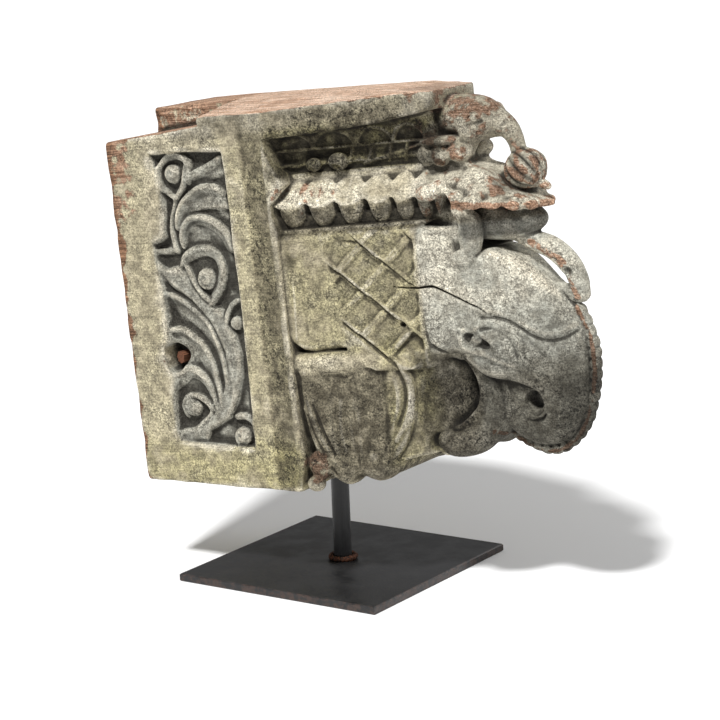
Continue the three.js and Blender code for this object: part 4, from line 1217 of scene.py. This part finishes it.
# Stand: a square plate and a round rod of blackened steel. The rod stands on the plate and goes up
# into the corbel; the plate's edges are rubbed a little brown.
PLATE_RIM, RUBBED_WIDTH = 0.0898, 0.0018
steel, tree, shader = finish("blackened_steel")
coordinates = node(tree, "TexCoord").outputs["Object"]
clouds = use(tree, flecks, {"Place": coordinates, "Size": 0.022, "Cut": 0.5, "Soft": 0.2})
scuffs = use(tree, flecks, {"Place": coordinates, "Size": 0.004, "Cut": 0.56, "Soft": 0.06})
unsigned = node(tree, "VectorMath", {0: coordinates}, operation="ABSOLUTE").outputs[0]
axes = node(tree, "SeparateXYZ", {0: unsigned})
outward = sums(tree, "MAXIMUM", axes.outputs[0], axes.outputs[1])
rubbed = times(tree, fade(tree, outward, PLATE_RIM - RUBBED_WIDTH, PLATE_RIM),
               fade(tree, scuffs["Height"], 0.40, 0.60))
colour = blend(tree, clouds["Mask"], linear(16, 16, 17), linear(38, 38, 39))
colour = blend(tree, rubbed, colour, linear(62, 48, 42))
tree.links.new(colour, shader.inputs["Base Color"])
tree.links.new(fade(tree, clouds["Height"], 0.3, 0.7, 0.36, 0.52), shader.inputs["Roughness"])
pressed(tree, shader, scuffs["Height"], 0.00008)
for name in ("base_plate", "rod"):
    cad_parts[name].material_slots[0].material = steel

# Weld: the bead that holds the rod to the plate, steel laid in short overlapping lumps round the
# rod's foot and left to rust. The lumps are instances on a ring, each a little smaller or larger.
rust, tree, shader = finish("rusty_weld")
blooms = use(tree, flecks, {
    "Place": node(tree, "TexCoord").outputs["Object"], "Size": 0.003, "Cut": 0.5, "Soft": 0.12,
})
colour = blend(tree, blooms["Mask"], linear(44, 30, 24), linear(104, 62, 40))
tree.links.new(colour, shader.inputs["Base Color"])
shader.inputs["Roughness"].default_value = 0.8
pressed(tree, shader, blooms["Height"], 0.0005)
bead = bpy.data.node_groups.new("weld_bead", "GeometryNodeTree")
bead.interface.new_socket("Mesh", in_out="OUTPUT", socket_type="NodeSocketGeometry")
settings = {}
for name, kind, value in [("Ring Radius", "Float", 0.0093), ("Lump Radius", "Float", 0.0026),
                          ("Height", "Float", 0.0080), ("Count", "Int", 19), ("Seed", "Int", 4)]:
    socket = bead.interface.new_socket(name, in_out="INPUT", socket_type="NodeSocket" + kind)
    settings[socket.identifier] = value
given, out = bead.nodes.new("NodeGroupInput"), bead.nodes.new("NodeGroupOutput")
ring = bead.nodes.new("GeometryNodeCurvePrimitiveCircle")
lift = bead.nodes.new("ShaderNodeCombineXYZ")
raised_ring = bead.nodes.new("GeometryNodeTransform")
stops = bead.nodes.new("GeometryNodeCurveToPoints")
lump = bead.nodes.new("GeometryNodeMeshIcoSphere")
uneven = bead.nodes.new("FunctionNodeRandomValue")
laid = bead.nodes.new("GeometryNodeInstanceOnPoints")
real = bead.nodes.new("GeometryNodeRealizeInstances")
coated = bead.nodes.new("GeometryNodeSetMaterial")
lump.inputs["Subdivisions"].default_value = 2
SMALLEST_LUMP, LARGEST_LUMP = 0.78, 1.0
uneven.inputs[2].default_value = SMALLEST_LUMP
uneven.inputs[3].default_value = LARGEST_LUMP
coated.inputs["Material"].default_value = rust
for source, target in [
    (given.outputs["Ring Radius"], ring.inputs["Radius"]), (given.outputs["Height"], lift.inputs["Z"]),
    (ring.outputs["Curve"], raised_ring.inputs["Geometry"]),
    (lift.outputs[0], raised_ring.inputs["Translation"]),
    (raised_ring.outputs["Geometry"], stops.inputs["Curve"]), (given.outputs["Count"], stops.inputs["Count"]),
    (given.outputs["Lump Radius"], lump.inputs["Radius"]), (given.outputs["Seed"], uneven.inputs["Seed"]),
    (stops.outputs["Points"], laid.inputs["Points"]), (lump.outputs["Mesh"], laid.inputs["Instance"]),
    (uneven.outputs[1], laid.inputs["Scale"]), (laid.outputs["Instances"], real.inputs["Geometry"]),
    (real.outputs["Geometry"], coated.inputs["Geometry"]), (coated.outputs["Geometry"], out.inputs["Mesh"]),
]:
    bead.links.new(source, target)
weld = bpy.data.objects.new("weld_bead", bpy.data.meshes.new("weld_bead"))
bpy.context.scene.collection.objects.link(weld)
laying = weld.modifiers.new("lay", "NODES")
laying.node_group = bead
for identifier, value in settings.items():
    laying[identifier] = value
laid_mesh = bpy.data.meshes.new_from_object(weld.evaluated_get(bpy.context.evaluated_depsgraph_get()))
weld.modifiers.clear()
weld.data = laid_mesh
laid_mesh.polygons.foreach_set("use_smooth", np.ones(len(laid_mesh.polygons), bool))
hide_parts("weld")
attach(weld, "root")

# Floor and light: white paper under one soft sun, high in front, and a weak broad lamp behind that
# lifts the shadow on the paper. None of it is part of the corbel.
floor = bpy.data.objects.new("floor", bpy.data.meshes.new("floor"))
floor.data.from_pydata([(-40, -40, 0), (40, -40, 0), (40, 40, 0), (-40, 40, 0)], [], [(0, 1, 2, 3)])
bpy.context.scene.collection.objects.link(floor)
paper, tree, shader = finish("paper")
shader.inputs["Base Color"].default_value = (0.93, 0.93, 0.93, 1)
shader.inputs["Roughness"].default_value = 1.0
shader.inputs["Specular IOR Level"].default_value = 0.0
floor.data.materials.append(paper)

studio = bpy.data.worlds.new("studio")
studio.use_nodes = True
studio.node_tree.nodes["Background"].inputs["Color"].default_value = (1, 1, 1, 1)
studio.node_tree.nodes["Background"].inputs["Strength"].default_value = 0.30
bpy.context.scene.world = studio
TOWARD_LIGHT = Vector((0.10, -0.70, 1.0))
sun = bpy.data.objects.new("key", bpy.data.lights.new("key", "SUN"))
sun.data.energy = 3.8
sun.data.angle = math.radians(7)
sun.rotation_euler = (-TOWARD_LIGHT).to_track_quat("-Z", "Y").to_euler()
bpy.context.scene.collection.objects.link(sun)
lamp = bpy.data.objects.new("fill", bpy.data.lights.new("fill", "AREA"))
lamp.data.energy = 7.0
lamp.data.size = 1.2
lamp.location = (0.75, 1.0, 0.9)
LAMP_AIM = Vector((0.30, 0.45, 0.0))
lamp.rotation_euler = (LAMP_AIM - lamp.location).to_track_quat("-Z", "Y").to_euler()
bpy.context.scene.collection.objects.link(lamp)
bpy.context.scene.view_settings.view_transform = "Standard"
